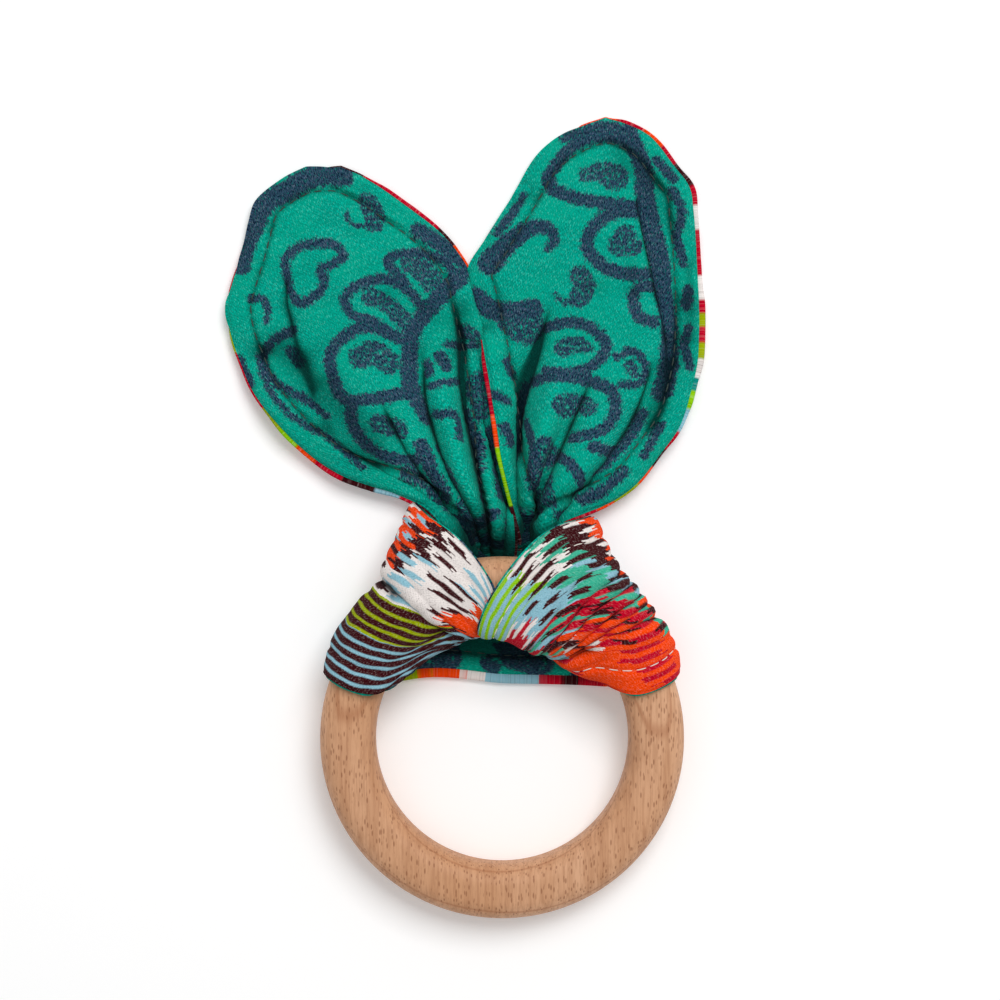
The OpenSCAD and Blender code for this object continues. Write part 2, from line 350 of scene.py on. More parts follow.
# ---------------------------------------------------------------- ears
# Each ear as it lies, seen from above: its two edges from the neck to the tip, where each later
# point of one faces the same part of the other. Valleys are pleats: depth, width and line.
# Raised lines are height, width and line. Shade lines are amount, width and line: painted shade
# that darkens the colour where the photograph's cloth is darker. The axis is how far the ear
# leans to the left, in degrees.
EARS = {
    "left": {
        "right_rail": [(1.4, 29), (2.4, 36.5), (2.2, 42), (1, 48), (-0.4, 54), (-0.7, 60),
            (-1.4, 66), (-3.2, 77), (-5.2, 84), (-6.6, 90.4), (-12, 97.6), (-20, 103.9),
            (-27, 108.6), (-31.5, 110.6)],
        "left_rail": [(-8.2, 29), (-9.2, 36), (-12.2, 41.4), (-15.6, 44.7), (-21, 47.4),
            (-25, 48.6), (-31, 50.7), (-36, 53.8), (-40.2, 57.4), (-44.5, 62), (-48.2, 67),
            (-51.2, 73.7), (-52.6, 78), (-53.5, 83.3), (-52.3, 88.4), (-50.2, 95), (-49, 100.2),
            (-47.6, 104.2), (-42.6, 108.2), (-38.2, 110.4)],
        "valleys": [
            (6.4, 1.3, [(-8.9, 88), (-8.5, 76), (-7.4, 63), (-5.2, 51), (-2.2, 37), (-1.8, 30)]),
            (5.4, 1.5, [(-15.6, 78), (-14.6, 64), (-10.8, 52), (-6, 43.5), (-4.4, 37), (-4, 30)]),
            (4.2, 1.6, [(-26, 70), (-19, 56), (-13.6, 48.4), (-8.6, 41.5), (-6.2, 36),
                (-5.8, 30)]),
            (4.4, 1.1, [(-4.9, 73), (-3.4, 60), (-1.2, 50), (0.6, 42), (0.5, 37), (0.3, 30)]),
            (1.6, 1.8, [(-39, 64), (-29, 55.5), (-18, 48.8), (-10, 42.5)]),
            (1.1, 2.4, [(-28, 54), (-35.3, 63.5), (-38.6, 72), (-41.4, 82), (-42, 88)]),
        ],
        "raised": [
            (-2.6, 2.2, [(2.4, 38), (1, 48), (-1.3, 60), (-2.2, 66), (-4.2, 80)]),
            (1, 2, [(-12, 70), (-9.6, 58), (-6.6, 48), (-3.6, 40)]),
        ],
        "shade_lines": [
            (0.58, 4, [(-43, 76), (-36, 68), (-30, 63), (-25, 57)]),
            (0.5, 2.8, [(-8, 83), (-8.2, 79), (-8.4, 75)]),
            (0.3, 2.2, [(-15, 84), (-13, 81)]),
        ],
        "axis": 23.5,
    },
    "right": {
        "left_rail": [(3.4, 29), (3.7, 36.6), (2.6, 42), (1.2, 48), (-0.1, 54), (-0.9, 60),
            (-2, 67), (-3.6, 76.5), (-5, 83.5), (-6.4, 90.2), (-2.9, 96.4), (2.1, 104.4),
            (6.8, 112.4), (10.6, 116), (15.6, 118.6)],
        "right_rail": [(8.9, 29), (8.8, 36), (11.5, 41), (16.4, 43.4), (20.5, 45.3), (26, 49.2),
            (30.6, 55), (34.4, 60.4), (36.9, 68.4), (38, 74), (38.3, 82.6), (38, 90), (37.6, 96),
            (37.1, 102), (36.5, 106.6), (33.6, 110.7), (29, 116.4), (24.6, 118.9), (20.2, 120.3)],
        "valleys": [
            (8, 1.4, [(10.6, 87), (7, 76), (4.2, 66), (2.9, 56), (3, 48), (4.4, 37), (4.6, 30)]),
            (4.8, 1.5, [(19, 73), (13.4, 60), (9.4, 50.5), (6.4, 42), (6, 37), (6, 30)]),
            (4.6, 1.3, [(30, 79), (28.2, 69), (24.4, 60), (18.8, 52), (12.6, 44.6), (7.6, 36),
                (7.4, 30)]),
            (4, 0.9, [(12.6, 64), (8.6, 54.6), (6.6, 47), (5.2, 38), (5.3, 30)]),
            (1.3, 1, [(30, 62), (31.8, 73), (29.8, 86), (27.4, 97), (26, 104)]),
        ],
        "raised": [
            (1.5, 2.4, [(2.2, 42), (0.8, 50), (-0.6, 60), (-1.6, 67), (-3.8, 80)]),
            (1, 2, [(11.6, 72), (8.4, 60), (6.6, 50), (5.6, 41)]),
        ],
        "shade_lines": [
            (0.38, 3.4, [(23, 113), (28.6, 107), (33, 100)]),
            (0.42, 2.6, [(35.8, 85), (35.8, 79), (35.4, 73)]),
            (0.62, 2.2, [(31.6, 72), (30.8, 66), (29, 61)]),
            (0.35, 2, [(25, 91), (25.6, 86)]),
        ],
        "axis": -11.6,
    },
}


def evenly(line, gap):
    """A polyline's points again, gap apart."""
    s, whole = chords(line)
    t = np.linspace(0, 1, max(int(whole / gap), 2))
    return np.stack([np.interp(t, s, line[:, k]) for k in range(line.shape[1])], -1)


def inset_line(outline, inside, distance):
    """The part of an outline moved inwards by distance, towards the side that inside is on."""
    p = evenly(outline, 0.8)
    way = unit(np.gradient(p, axis=0))
    across = np.stack([way[:, 1], -way[:, 0]], -1)
    turn = np.sign(((inside - p) * across).sum(1).mean())
    moved = p + turn * across * distance
    clear = to_line(moved, p)[0] > distance - 0.25
    moved = moved[clear]
    for _ in range(6):
        moved[1:-1] = (moved[:-2] + 2 * moved[1:-1] + moved[2:]) / 4
    return moved


def lift(points, flat, surface):
    """Points of a surface over plan points, from the nearest points of its grid."""
    spots = flat.reshape(-1, 2)
    values = surface.reshape(-1, surface.shape[-1])
    found = []
    for p in points:
        d = ((spots - p) ** 2).sum(1)
        near = np.argpartition(d, 5)[:5]
        w = 1 / (d[near] + 0.01)
        found.append((values[near] * w[:, None]).sum(0) / w.sum())
    return np.array(found)


def to_line(p, line):
    """Distance from plan points p to a polyline, and how far along it they are, 0 to 1."""
    best = np.full(p.shape[:-1], 1e3)
    along = np.zeros(p.shape[:-1])
    k = chords(line)[0]
    for a, b, ka, kb in zip(line[:-1], line[1:], k[:-1], k[1:]):
        t = np.clip(((p - a) @ (b - a)) / ((b - a) @ (b - a)), 0, 1)
        d = np.linalg.norm(p - a - t[..., None] * (b - a), axis=-1)
        nearer = d < best
        best = np.where(nearer, d, best)
        along = np.where(nearer, ka + t * (kb - ka), along)
    return best, along


def ear_surface(ear, seed):
    """The middle surface of an ear, a grid of points from the neck (row 0) to the tip.

    With it come each point's distance to the sewn edge, its place seen from above, and how much
    painted shade darkens its colour.
    """
    rows, cols = EAR_GRID
    s = np.linspace(0, 1, rows)
    right, left = curve(ear["right_rail"], s), curve(ear["left_rail"], s)
    v = np.linspace(0, 1, cols)[None, :, None]
    flat = right[:, None] * (1 - v) + left[:, None] * v
    x, y = flat[..., 0], flat[..., 1]
    outline = np.concatenate([right[::4], right[-1:], left[::-4], left[:1]])
    edge = to_line(flat, outline)[0]
    # The height of the pleats' tops, from inside the knot to the tip. It sinks towards the
    # sewn edge, which rests on the table outside the knot.
    ridge = np.interp(y, [29, 33.5, 36, 41, 46, 52, 60, 72, 90, 120],
                      [3.0, 3.1, 4.2, 8.6, 10.4, 9.4, 7.0, 4.2, 2.8, 2.6])
    ridge = blur(ridge, 12)
    inwards = 1 - (1 - step(edge, -1.5, 9)) * step(y, 37, 46)
    h = EDGE_HEIGHT + (ridge - EDGE_HEIGHT) * (0.3 + 0.7 * inwards)
    # Painted shade: the gathers inside the knot, the crease along the stitching, the shade lines
    # and the valleys all darken the colour.
    shade = 0.8 * step(y, 45, 37) + 0.48 * np.exp(-(((edge - STITCH_IN) / 0.6) ** 2))
    for amount, wide, line in ear["shade_lines"]:
        d = to_line(flat, curve(line, np.linspace(0, 1, 20)))[0]
        shade = shade + amount * np.exp(-((d / wide) ** 2))
    for depth, wide, line in ear["valleys"]:
        d, along = to_line(flat, curve(line, np.linspace(0, 1, 40)))
        reach = step(along, 0.0, 0.45) * np.interp(y, [30, 40], [0.5, 1])
        spread = wide * (0.55 + 0.9 * step(along, 1.0, 0.2))
        h -= depth * reach * np.exp(-np.sqrt(d**2 + 0.03) / spread)
        # Painted shade along the valley's line.
        shade = shade + depth / 7 * reach * np.exp(-((d / 1.0) ** 2))
    for rise, wide, line in ear["raised"]:
        d, along = to_line(flat, curve(line, np.linspace(0, 1, 40)))
        h += rise * np.exp(-((d / wide) ** 2)) * step(np.abs(along - 0.5), 0.5, 0.3)
    loose = step(y, 40, 60)
    h += 0.75 * loose * ripple(x, y, 24, seed) + 0.3 * loose * ripple(x, y, 9, seed + 1)
    h += 0.5 * loose * ripple(x, y, 15, seed + 2) * step(edge, 9, 0)
    h = np.maximum(h, 1.05 + 0.25 * ripple(x, y, 8, seed + 3) ** 2)
    surface = np.stack([x, y, h], -1)
    return blur(surface, 1), edge, flat, shade


def ear_cloth(surface, flat, axis):
    """Flat cloth coordinates of an ear's points, across and along, in millimetres."""
    a = math.radians(90 + axis)
    along_way = np.array([math.cos(a), math.sin(a)])
    across_way = np.array([along_way[1], -along_way[0]])
    across = travelled(surface, 1)
    middle = flat[:, [0, -1]].mean(1) @ across_way
    across = middle[:, None] - (across - across[:, -1:] / 2)
    return np.stack([across, flat @ along_way], -1)


# Brush strokes of the print on each ear: width, taper, and points on the ear as it lies.
STROKES = {
    "left": [
        (1.7, 0, [(-42.3, 92.7), (-39.7, 94.9), (-36, 95.7), (-32.7, 95.3), (-31, 93.4),
            (-32.7, 91.4), (-35.3, 90.7), (-34.4, 87.9), (-36.4, 85.3), (-39, 84.4), (-40.9, 86.4),
            (-41.8, 89.7), (-42.3, 92.7)]),
        (3.9, 0, [(-26, 103.4), (-24.9, 101.6), (-24.9, 99.7)]),
        (1, 0.3, [(-25.3, 99.3), (-28.6, 99.3), (-30.3, 100.8), (-30.1, 101.6)]),
        (3.8, 0, [(-30.9, 108.9), (-36.8, 108.6), (-42, 105.9), (-46, 103.1), (-48, 98.6),
            (-50.6, 91.9)]),
        (1.5, 0.3, [(-48.6, 84.9), (-46.6, 84.9), (-45.7, 82.7), (-46, 80.5)]),
        (3, 0, [(-16.1, 98), (-10.1, 93.8), (-6.8, 91), (-10.1, 87.5), (-13.8, 83.4),
            (-17.2, 78.6), (-18.1, 73.8), (-17.9, 67.5), (-15.3, 62)]),
        (1.7, 0, [(-9.8, 89.7), (-10.9, 91.9), (-15.3, 93.8), (-21.2, 93.4), (-22.4, 92.3),
            (-20.5, 89.7), (-17.5, 86), (-15.3, 83.4)]),
        (4.2, -0.1, [(-17.6, 91.6), (-15.8, 90.4), (-13.9, 88.4)]),
        (1.8, 0, [(-15.3, 83.4), (-17.5, 86), (-22, 88.6), (-27.2, 87.9), (-30.5, 85.3),
            (-29.4, 82.3), (-24.9, 80.1), (-20.1, 77.1)]),
        (3.4, 0, [(-25.8, 85.6), (-21.8, 83.6), (-18.8, 80.1)]),
        (2.2, 0, [(-20.1, 77.1), (-25.7, 79.4), (-30.9, 77.5), (-33.4, 73.4), (-32.7, 69.7),
            (-31.2, 66), (-28.6, 64.9), (-17.5, 66.8)]),
        (4.6, 0, [(-27.4, 73.4), (-25, 74.2), (-22.4, 72.2)]),
        (2.1, 0, [(-29, 64.5), (-28.6, 60), (-25, 56), (-19, 53.4), (-15, 54)]),
        (4.2, 0, [(-23.6, 60.4), (-20.4, 59.4)]),
        (1.5, 0, [(-46.8, 73.5), (-45.7, 70.1), (-42.3, 67.5), (-37.9, 64.9), (-33.8, 62.3)]),
        (1.3, 0, [(-46, 70.1), (-43.8, 65.7), (-39.7, 61.6), (-33, 57.5), (-27, 52.6)]),
        (1.7, 0, [(-40.5, 78.6), (-44.2, 76.8), (-46.4, 73.8), (-46, 70.1)]),
        (2.4, 0, [(-41.2, 74.6), (-39.5, 72.5)]),
        (1.6, 0, [(-51.4, 73), (-48.6, 68.4)]),
        (2.8, 0, [(-7.6, 78.8), (-5.8, 78)]),
        (1.3, 0, [(-10.9, 76.2), (-5.3, 75.7)]),
        (1.9, 0, [(-12, 73.6), (-11.2, 71.8)]),
        (1.7, 0, [(-14.2, 72.2), (-14.2, 70.4)]),
        (1.4, 0, [(-13.5, 67.9), (-9, 68.6)]),
        (4.2, 0, [(-5.2, 68.5), (-4.8, 66.5)]),
        (1.5, 0, [(-12.6, 62.6), (-9.4, 61.6), (-8.4, 57.4)]),
        (3.6, 0, [(-17.8, 51.4), (-14, 49), (-11, 44)]),
        (2.6, 0, [(-12.6, 55.4), (-9.6, 51.5), (-7.6, 46.5)]),
        (2.4, 0, [(-7, 62.5), (-5.6, 58), (-4.8, 52), (-4.4, 46)]),
        (1.8, 0, [(-2.4, 59), (-1.6, 54.5), (-2.2, 50.5)]),
        (2.2, 0, [(-8.6, 42.5), (-5.2, 41.5), (-2, 42.8)]),
        (2.4, 0, [(-1, 46.5), (0.4, 44.2), (0.2, 40.5)]),
        (1.8, 0, [(-6.6, 38.6), (-3, 38.2), (0.6, 37.6)]),
        (3.8, 0, [(-4.6, 66.6), (-4.2, 63.4)]),
        (2, 0, [(-15.6, 56.5), (-13.4, 51.4), (-10.6, 46.6)]),
        (2.2, 0, [(-1.8, 48.6), (-1.4, 46.4)]),
        (3, 0, [(-7.4, 44.2), (-6, 40.4)]),
    ],
    "right": [
        (4.2, 0.66, [(-2, 91.8), (-0.1, 93.7), (2.8, 96.6), (6, 98.7), (8.6, 98.8), (10, 97.2),
            (9.8, 95.6), (8.7, 94.7)]),
        (2.3, 0, [(25.9, 102.7), (19.1, 103.6), (12.4, 105.2), (9.2, 107.2), (9.8, 109.7),
            (12.7, 113.3), (16.3, 115.7), (20.7, 116.6), (24.3, 115.2), (27.2, 112.6)]),
        (2.6, -1, [(16.3, 109.1), (19, 109.5), (21.8, 108.3)]),
        (2.3, 0, [(27.4, 102), (22.3, 102), (18.5, 100.1), (16.6, 96.9), (16.9, 93.7),
            (20.1, 91.1), (23.9, 89.8), (27.8, 89.5)]),
        (3.4, 0, [(23.9, 97.7), (22.3, 95.2), (25.4, 94.8)]),
        (3.9, 0, [(15.3, 89.2), (16.3, 87.3), (15, 85)]),
        (1.1, 0.4, [(14, 84.1), (11.8, 84.4), (10.2, 85.9)]),
        (2, 0, [(29.4, 87.3), (26.5, 87), (25.2, 84.7), (26.5, 81.8), (29.4, 80.2)]),
        (3.4, 0, [(24.6, 117.4), (27.5, 110.4), (27.8, 105.2), (29.1, 98.8), (30.4, 92.7),
            (31.3, 86.3), (32, 79.9), (32.3, 73.8), (31, 67)]),
        (3.4, 0, [(-4.9, 85.2), (-1.7, 82.8), (2.5, 82.4), (6, 82.8)]),
        (4.6, 0, [(1.5, 80.5), (4.4, 78.6), (6.2, 79.4)]),
        (2, 0, [(9, 79.5), (13.5, 80.5), (17.5, 79.2), (20, 76), (18.5, 72.5), (14, 70.4),
            (9, 70.7)]),
        (3.6, 0.4, [(12, 75.4), (14.4, 75.8), (16.6, 75.4)]),
        (2.1, 0, [(6.4, 68.4), (12, 69.4), (17, 69), (21.2, 66.5), (21.6, 62.5), (19, 59),
            (14, 57.4)]),
        (4.2, 0.2, [(11.6, 64.2), (14.6, 64.6), (16.8, 63.4)]),
        (2, 0, [(6.4, 48.6), (8.4, 53.2), (12, 54), (14.6, 50), (13.6, 45.4), (10.4, 43)]),
        (2.8, 0, [(9.6, 49.6), (9.2, 46.2)]),
        (1.5, 0, [(22, 73.5), (25.5, 74.5), (28, 71.5), (26.5, 68.5), (23, 67.8)]),
        (2.4, 0, [(24.6, 71.6), (25.4, 70.6)]),
        (1.7, 0, [(33.2, 106), (34.9, 101.8), (33.8, 96.9), (35.2, 92)]),
        (2.3, 0, [(35.8, 86.2), (35.6, 84)]),
        (1.7, 0, [(36.2, 79), (35.2, 75.5), (36.2, 72)]),
        (1.8, 0, [(30, 112), (33.4, 108.4)]),
        (2, 0, [(12.2, 116.2), (17.8, 118.4), (22.4, 118.4)]),
        (1.9, 0, [(4.4, 104.6), (2.2, 101.2), (-0.6, 98)]),
        (2.1, 0, [(27.4, 62.4), (24.6, 57.6), (20.6, 53.2), (17.4, 50.8)]),
        (1.6, 0, [(23.4, 51.6), (19.4, 48), (15.6, 45.6)]),
        (1.6, 0, [(30.4, 60), (27, 54.4)]),
        (1.9, 0, [(0.6, 72.6), (1.4, 70.2)]),
        (1.6, 0, [(-1.6, 66.4), (0.4, 65.2)]),
        (1.8, 0, [(0.2, 59.8), (0.9, 57)]),
        (2, 0, [(5.4, 60.5), (6.6, 55.5), (5.6, 50.5)]),
        (2, 0, [(17.5, 56.2), (20.6, 55.4)]),
        (2.4, 0, [(4.6, 43.4), (5.2, 40.4)]),
        (2.2, 0, [(4.8, 67.4), (4.2, 62), (3.6, 56), (3.2, 50)]),
        (3.2, 0, [(8.2, 56.6), (9.6, 54.2)]),
        (2.6, 0, [(7.6, 46.4), (7.4, 43.6)]),
        (1.8, 0, [(3.2, 47.5), (3.6, 44)]),
    ],
}


def ear_print(strokes, cloth, flat):
    """Signed distance to the print over an ear's cloth, where short wide strokes are solid."""
    ink = np.full(cloth.shape[:-1], 50.0)
    lying = flat.reshape(-1, 2)
    for width, taper, points in strokes:
        nearest = [np.argmin(((lying - p) ** 2).sum(1)) for p in points]
        on_cloth = cloth.reshape(-1, 2)[nearest]
        core = width > 2.3 and chords(on_cloth)[1] < 10.5
        mark = brush(cloth, on_cloth, width * (1.05 if core else PRINT_BOLD), taper)
        ink = np.minimum(ink, np.maximum(mark, -0.25 if core else -0.8))
    return ink


def petal_fill(cloth, seed, pitch):
    """A loose all-over scatter of petals and commas over flat cloth coordinates."""
    rng = np.random.default_rng(seed)
    ink = np.full(cloth.shape[:-1], 50.0)
    low, high = cloth.reshape(-1, 2).min(0), cloth.reshape(-1, 2).max(0)
    for a in np.arange(low[0], high[0] + pitch, pitch):
        for b in np.arange(low[1], high[1] + pitch, pitch):
            spot = np.array([a, b]) + rng.uniform(-0.25, 0.25, 2) * pitch
            near = np.linalg.norm(cloth - spot, axis=-1) < pitch * 1.3
            angle = rng.uniform(0, 360)
            if rng.random() < 0.65:
                mark = petal(cloth[near], spot, angle, 10, 7)
            else:
                mark = comma(cloth[near], spot, angle, 3.4)
            ink[near] = np.minimum(ink[near], mark)
    return ink


def rolled_lips(edge, out, up, reach, rise, drop):
    """Rows of points that round an edge off: reach outwards, from rise above it to drop below."""
    rows = []
    for a in np.radians([65, 30, -5, -40, -70]):
        height = np.where(a > 0, rise, drop) * math.sin(a) * np.ones(len(edge))
        rows.append(edge + out * (reach * math.cos(a) ** 0.7)[:, None] + up * height[:, None])
    return rows


def border_frame(surface, normals):
    """The border points of a grid, their outward directions in the sheet, and their normals."""
    i, j = border(*surface.shape[:2])
    p, n = surface[i, j], normals[i, j]
    along = unit(np.roll(p, -1, axis=0) - np.roll(p, 1, axis=0))
    out = unit(np.cross(n, along))
    inside = surface.reshape(-1, 3).mean(0)
    sign = np.sign(((p - inside) * out).sum(1)).mean()
    return p, out * (1 if sign > 0 else -1), n


def layers(name, surface, edge, hem, cloth, ink, rim_reach, seed, deep, tint=None):
    """The two panels of cloth on a middle surface: flannel above it and cotton below it.

    edge is the distance from the sewn edge, hem is 1 where the sheet has a sewn edge nearby,
    deep is how much painted shade darkens the flannel, 0 to 1, and tint colours the cotton's
    rim. The grid's normals and the cloth's outer points above and below come back too.
    """
    n = grid_normals(surface)
    # How deep each point lies in a hollow of the sheet: painted shade in the flannel's creases
    # and, turned over, in the cotton's.
    hollow = ((blur(surface, 50) - surface) * n).sum(-1) / 0.75
    u, a = cloth[..., 0], cloth[..., 1]
    pad = 0.4 * step(edge, 4.5, 3.4) * hem
    pucker = 0.16 * np.cos(2 * math.pi * (u + a) / STITCH_PITCH)
    pucker = pucker * np.exp(-((edge - 4.2) / 1.4) ** 2)
    groove = 0.52 * np.exp(-(((edge - STITCH_IN) / 0.6) ** 2)) * hem
    fuzz = 0.05 * ripple(u, a, 1.6, seed) + 0.04 * ripple(u, a, 3.4, seed + 1)
    thin = np.sqrt(np.clip(1 - (1 - np.clip(edge / 0.9, 0, 1)) ** 2, 0.12, 1))
    thin = np.where(hem > 0.5, thin, 1)
    top = (FLANNEL + pad - groove + pucker * hem + fuzz) * thin
    low = (COTTON + 0.5 * pad - 0.6 * groove) * thin
    p, out, up = border_frame(surface, n)
    i, j = border(*surface.shape[:2])
    reach = rim_reach[i, j]
    gap = 0.02
    upper = surface + n * gap
    place = {"cloth": np.stack([u, a, np.zeros_like(u)], -1)}
    tints = {} if tint is None else {"tint": tint}
    above, below = surface + n * top[..., None], surface - n * low[..., None]
    # The fold attribute is painted shade: the creases' depth plus deep on the flannel, the creases
    # below on the cotton.
    flannel = shell(
        name + "_flannel", above, upper,
        rolled_lips(p + up * 0.25, out, up, np.clip(0.6 - reach, 0.2, 0.5), 0.25, 0.2),
        {"ink": ink, "fold": np.maximum(hollow, 0) + deep, **place})
    plaid = shell(
        name + "_plaid", upper - n * 2 * gap, below,
        rolled_lips(p - up * 0.1, out, up, np.maximum(reach, 0.06),
                    0.55 * step(reach, 0.25, 0.7), 0.42),
        {"rim": step(edge, 1.6, 1.0) * hem, "fold": np.maximum(-hollow, 0), **place, **tints})
    return flannel, plaid, n, above, below


# ---------------------------------------------------------------- materials
def rgb(r, g, b):
    """A display colour, 0 to 255, as a linear one."""
    c = np.array([r, g, b]) / 255
    linear = np.where(c < 0.04045, c / 12.92, ((c + 0.055) / 1.055) ** 2.4)
    return (*linear.tolist(), 1.0)


class Shade:
    """A material's node tree, built by short calls that return sockets."""

    def __init__(self, name):
        self.material = bpy.data.materials.new(name)
        self.material.use_nodes = True
        self.tree = self.material.node_tree
        self.surface = self.tree.nodes["Principled BSDF"]

    def put(self, socket, value):
        if isinstance(value, bpy.types.NodeSocket):
            self.tree.links.new(value, socket)
        else:
            socket.default_value = value

    def node(self, kind, sockets, **settings):
        """A new node's outputs, from its inputs' values and its settings."""
        made = self.tree.nodes.new("ShaderNode" + kind)
        for key, value in settings.items():
            setattr(made, key, value)
        for key, value in sockets.items():
            self.put(made.inputs[key], value)
        return made.outputs

    def math(self, kind, *values):
        return self.node("Math", dict(enumerate(values)), operation=kind)[0]

    def smooth(self, value, low, high):
        """0 where the value is at low, 1 where it is at high and smooth between them."""
        return self.node("MapRange", {"Value": value, "From Min": low, "From Max": high},
                         interpolation_type="SMOOTHSTEP")[0]

    def attribute(self, name, output="Fac"):
        return self.node("Attribute", {}, attribute_name=name)[output]

    def place(self):
        return self.node("TexCoord", {})["Object"]

    def scaled(self, vector, size):
        return self.node("Mapping", {"Vector": vector, "Scale": size})[0]

    def parts(self, vector):
        return self.node("SeparateXYZ", {0: vector})

    def noise(self, vector, scale, detail, rough=0.5):
        """Noise at a scale, which is one number or one for each axis."""
        if isinstance(scale, tuple):
            vector, scale = self.scaled(vector, scale), 1.0
        return self.node("TexNoise", {"Vector": vector, "Scale": scale, "Detail": detail,
                                      "Roughness": rough})[0]

    def chance(self, value):
        """A random number, 0 to 1, for each value."""
        return self.node("TexWhiteNoise", {"W": value}, noise_dimensions="1D")[0]

    def mix(self, amount, a, b, kind="MIX"):
        return self.node("Mix", {0: amount, 6: a, 7: b}, data_type="RGBA", blend_type=kind)[2]

    def ramp(self, value, stops):
        """A colour ramp through (place, colour) stops, with sharp changes."""
        node = self.tree.nodes.new("ShaderNodeValToRGB")
        self.put(node.inputs[0], value)
        node.color_ramp.interpolation = "CONSTANT"
        points = node.color_ramp.elements
        while len(points) < len(stops):
            points.new(0.5)
        for point, (place, colour) in zip(points, stops):
            point.position = place
            point.color = colour
        return node.outputs[0]

    def stain(self, colour, value, low, high, amount, other):
        """The colour with amount of the other one where the value goes from low to high."""
        part = self.math("MULTIPLY", self.smooth(value, low, high), amount)
        return self.mix(part, colour, other)

    def bump(self, height, depth_mm):
        return self.node("Bump", {"Distance": depth_mm * MM, "Height": height})[0]

    def with_painted_shade(self, colour, fold, dark):
        """The colour sunk towards dark, a painted shade, where fold says how deep in shade the
        cloth lies.
        """
        return self.stain(colour, fold, 0.0, 1.0, 0.9, dark)

    def finish(self, colour, rough, normal=None, sheen=0.0, specular=0.5):
        looks = {"Base Color": colour, "Roughness": rough, "Sheen Weight": sheen,
                 "Specular IOR Level": specular}
        if normal is not None:
            looks["Normal"] = normal
        for key, value in looks.items():
            self.put(self.surface.inputs[key], value)
        return self.material


def weave(m, cloth, pitch, strength):
    """Height of a plain weave with uneven yarns, 0 to 1."""
    part = m.parts(cloth)
    wander = m.noise(cloth, 0.35, 2)
    across = m.math("MULTIPLY_ADD", wander, 0.9, part[0])
    along = m.math("MULTIPLY_ADD", wander, 0.7, part[1])
    a = m.math("SINE", m.math("MULTIPLY", across, 2 * math.pi / pitch))
    b = m.math("SINE", m.math("MULTIPLY", along, 2 * math.pi / (pitch * 1.15)))
    grain = m.noise(cloth, (4.0, 2.2, 1), 3, 0.7)
    return m.math("MULTIPLY_ADD", m.math("MULTIPLY", a, b), strength, grain)


def flannel_material():
    """Brushed flannel: a heathered teal ground, a navy print worn by its fibres, pale slubs, and
    painted shade.
    """
    m = Shade("printed_flannel")
    cloth = m.attribute("cloth", "Vector")
    ink = m.attribute("ink")
    fibre = m.noise(cloth, (3.6, 1.3, 1), 3, 0.75)
    fleck = m.noise(cloth, (4.6, 1.7, 1), 2, 0.6)
    slub = m.noise(cloth, (5.4, 1.3, 1), 1)
    broad = m.noise(cloth, 0.12, 2)
    blot = m.noise(cloth, 1.1, 3, 0.6)
    worn = m.noise(cloth, 0.16, 1)
    edge = m.math("MINIMUM", m.math("MAXIMUM", ink, -0.8), 1.1)
    edge = m.math("MULTIPLY_ADD", m.math("SUBTRACT", fibre, 0.5), 2.4, edge)
    edge = m.math("MULTIPLY_ADD", m.math("SUBTRACT", blot, 0.5), 1.9, edge)
    print_on = m.smooth(edge, 0.34, -0.3)
    teal = m.mix(m.smooth(fleck, 0.38, 0.72), rgb(0, 142, 122), rgb(0, 192, 168))
    teal = m.stain(teal, broad, 0.35, 0.7, 0.5, rgb(0, 170, 140))
    navy = m.mix(m.smooth(fleck, 0.36, 0.62), rgb(2, 26, 50), rgb(54, 82, 106))
    navy = m.mix(m.smooth(fibre, 0.53, 0.64), navy, rgb(0, 104, 100))
    colour = m.mix(print_on, teal, navy)
    pale = m.mix(print_on, rgb(96, 222, 200), rgb(130, 148, 166))
    often = m.math("MULTIPLY_ADD", worn, -0.16, slub)
    colour = m.stain(colour, often, 0.5, 0.62, 0.42, pale)
    # Painted shade: the colour sinks towards near-black teal where the fold attribute is high.
    colour = m.with_painted_shade(colour, m.attribute("fold"), rgb(0, 16, 20))
    height = weave(m, cloth, 0.62, 0.22)
    return m.finish(colour, 0.92, m.bump(height, 0.24), sheen=0.02, specular=0.03)


PLAID = {
    "maroon": rgb(60, 9, 16), "crimson": rgb(196, 0, 38), "orange": rgb(250, 70, 2),
    "lime": rgb(144, 204, 0), "olive": rgb(156, 172, 0), "sky": rgb(144, 196, 213),
    "white": rgb(242, 234, 230), "mint": rgb(60, 182, 150), "teal": rgb(0, 144, 134),
}


def marked(text):
    """(numbers and a colour's name) for each item of a list such as "-19 olive, 8.6 crimson"."""
    items = [item.split() for item in text.split(",")]
    return [(*map(float, item[:-1]), item[-1]) for item in items]


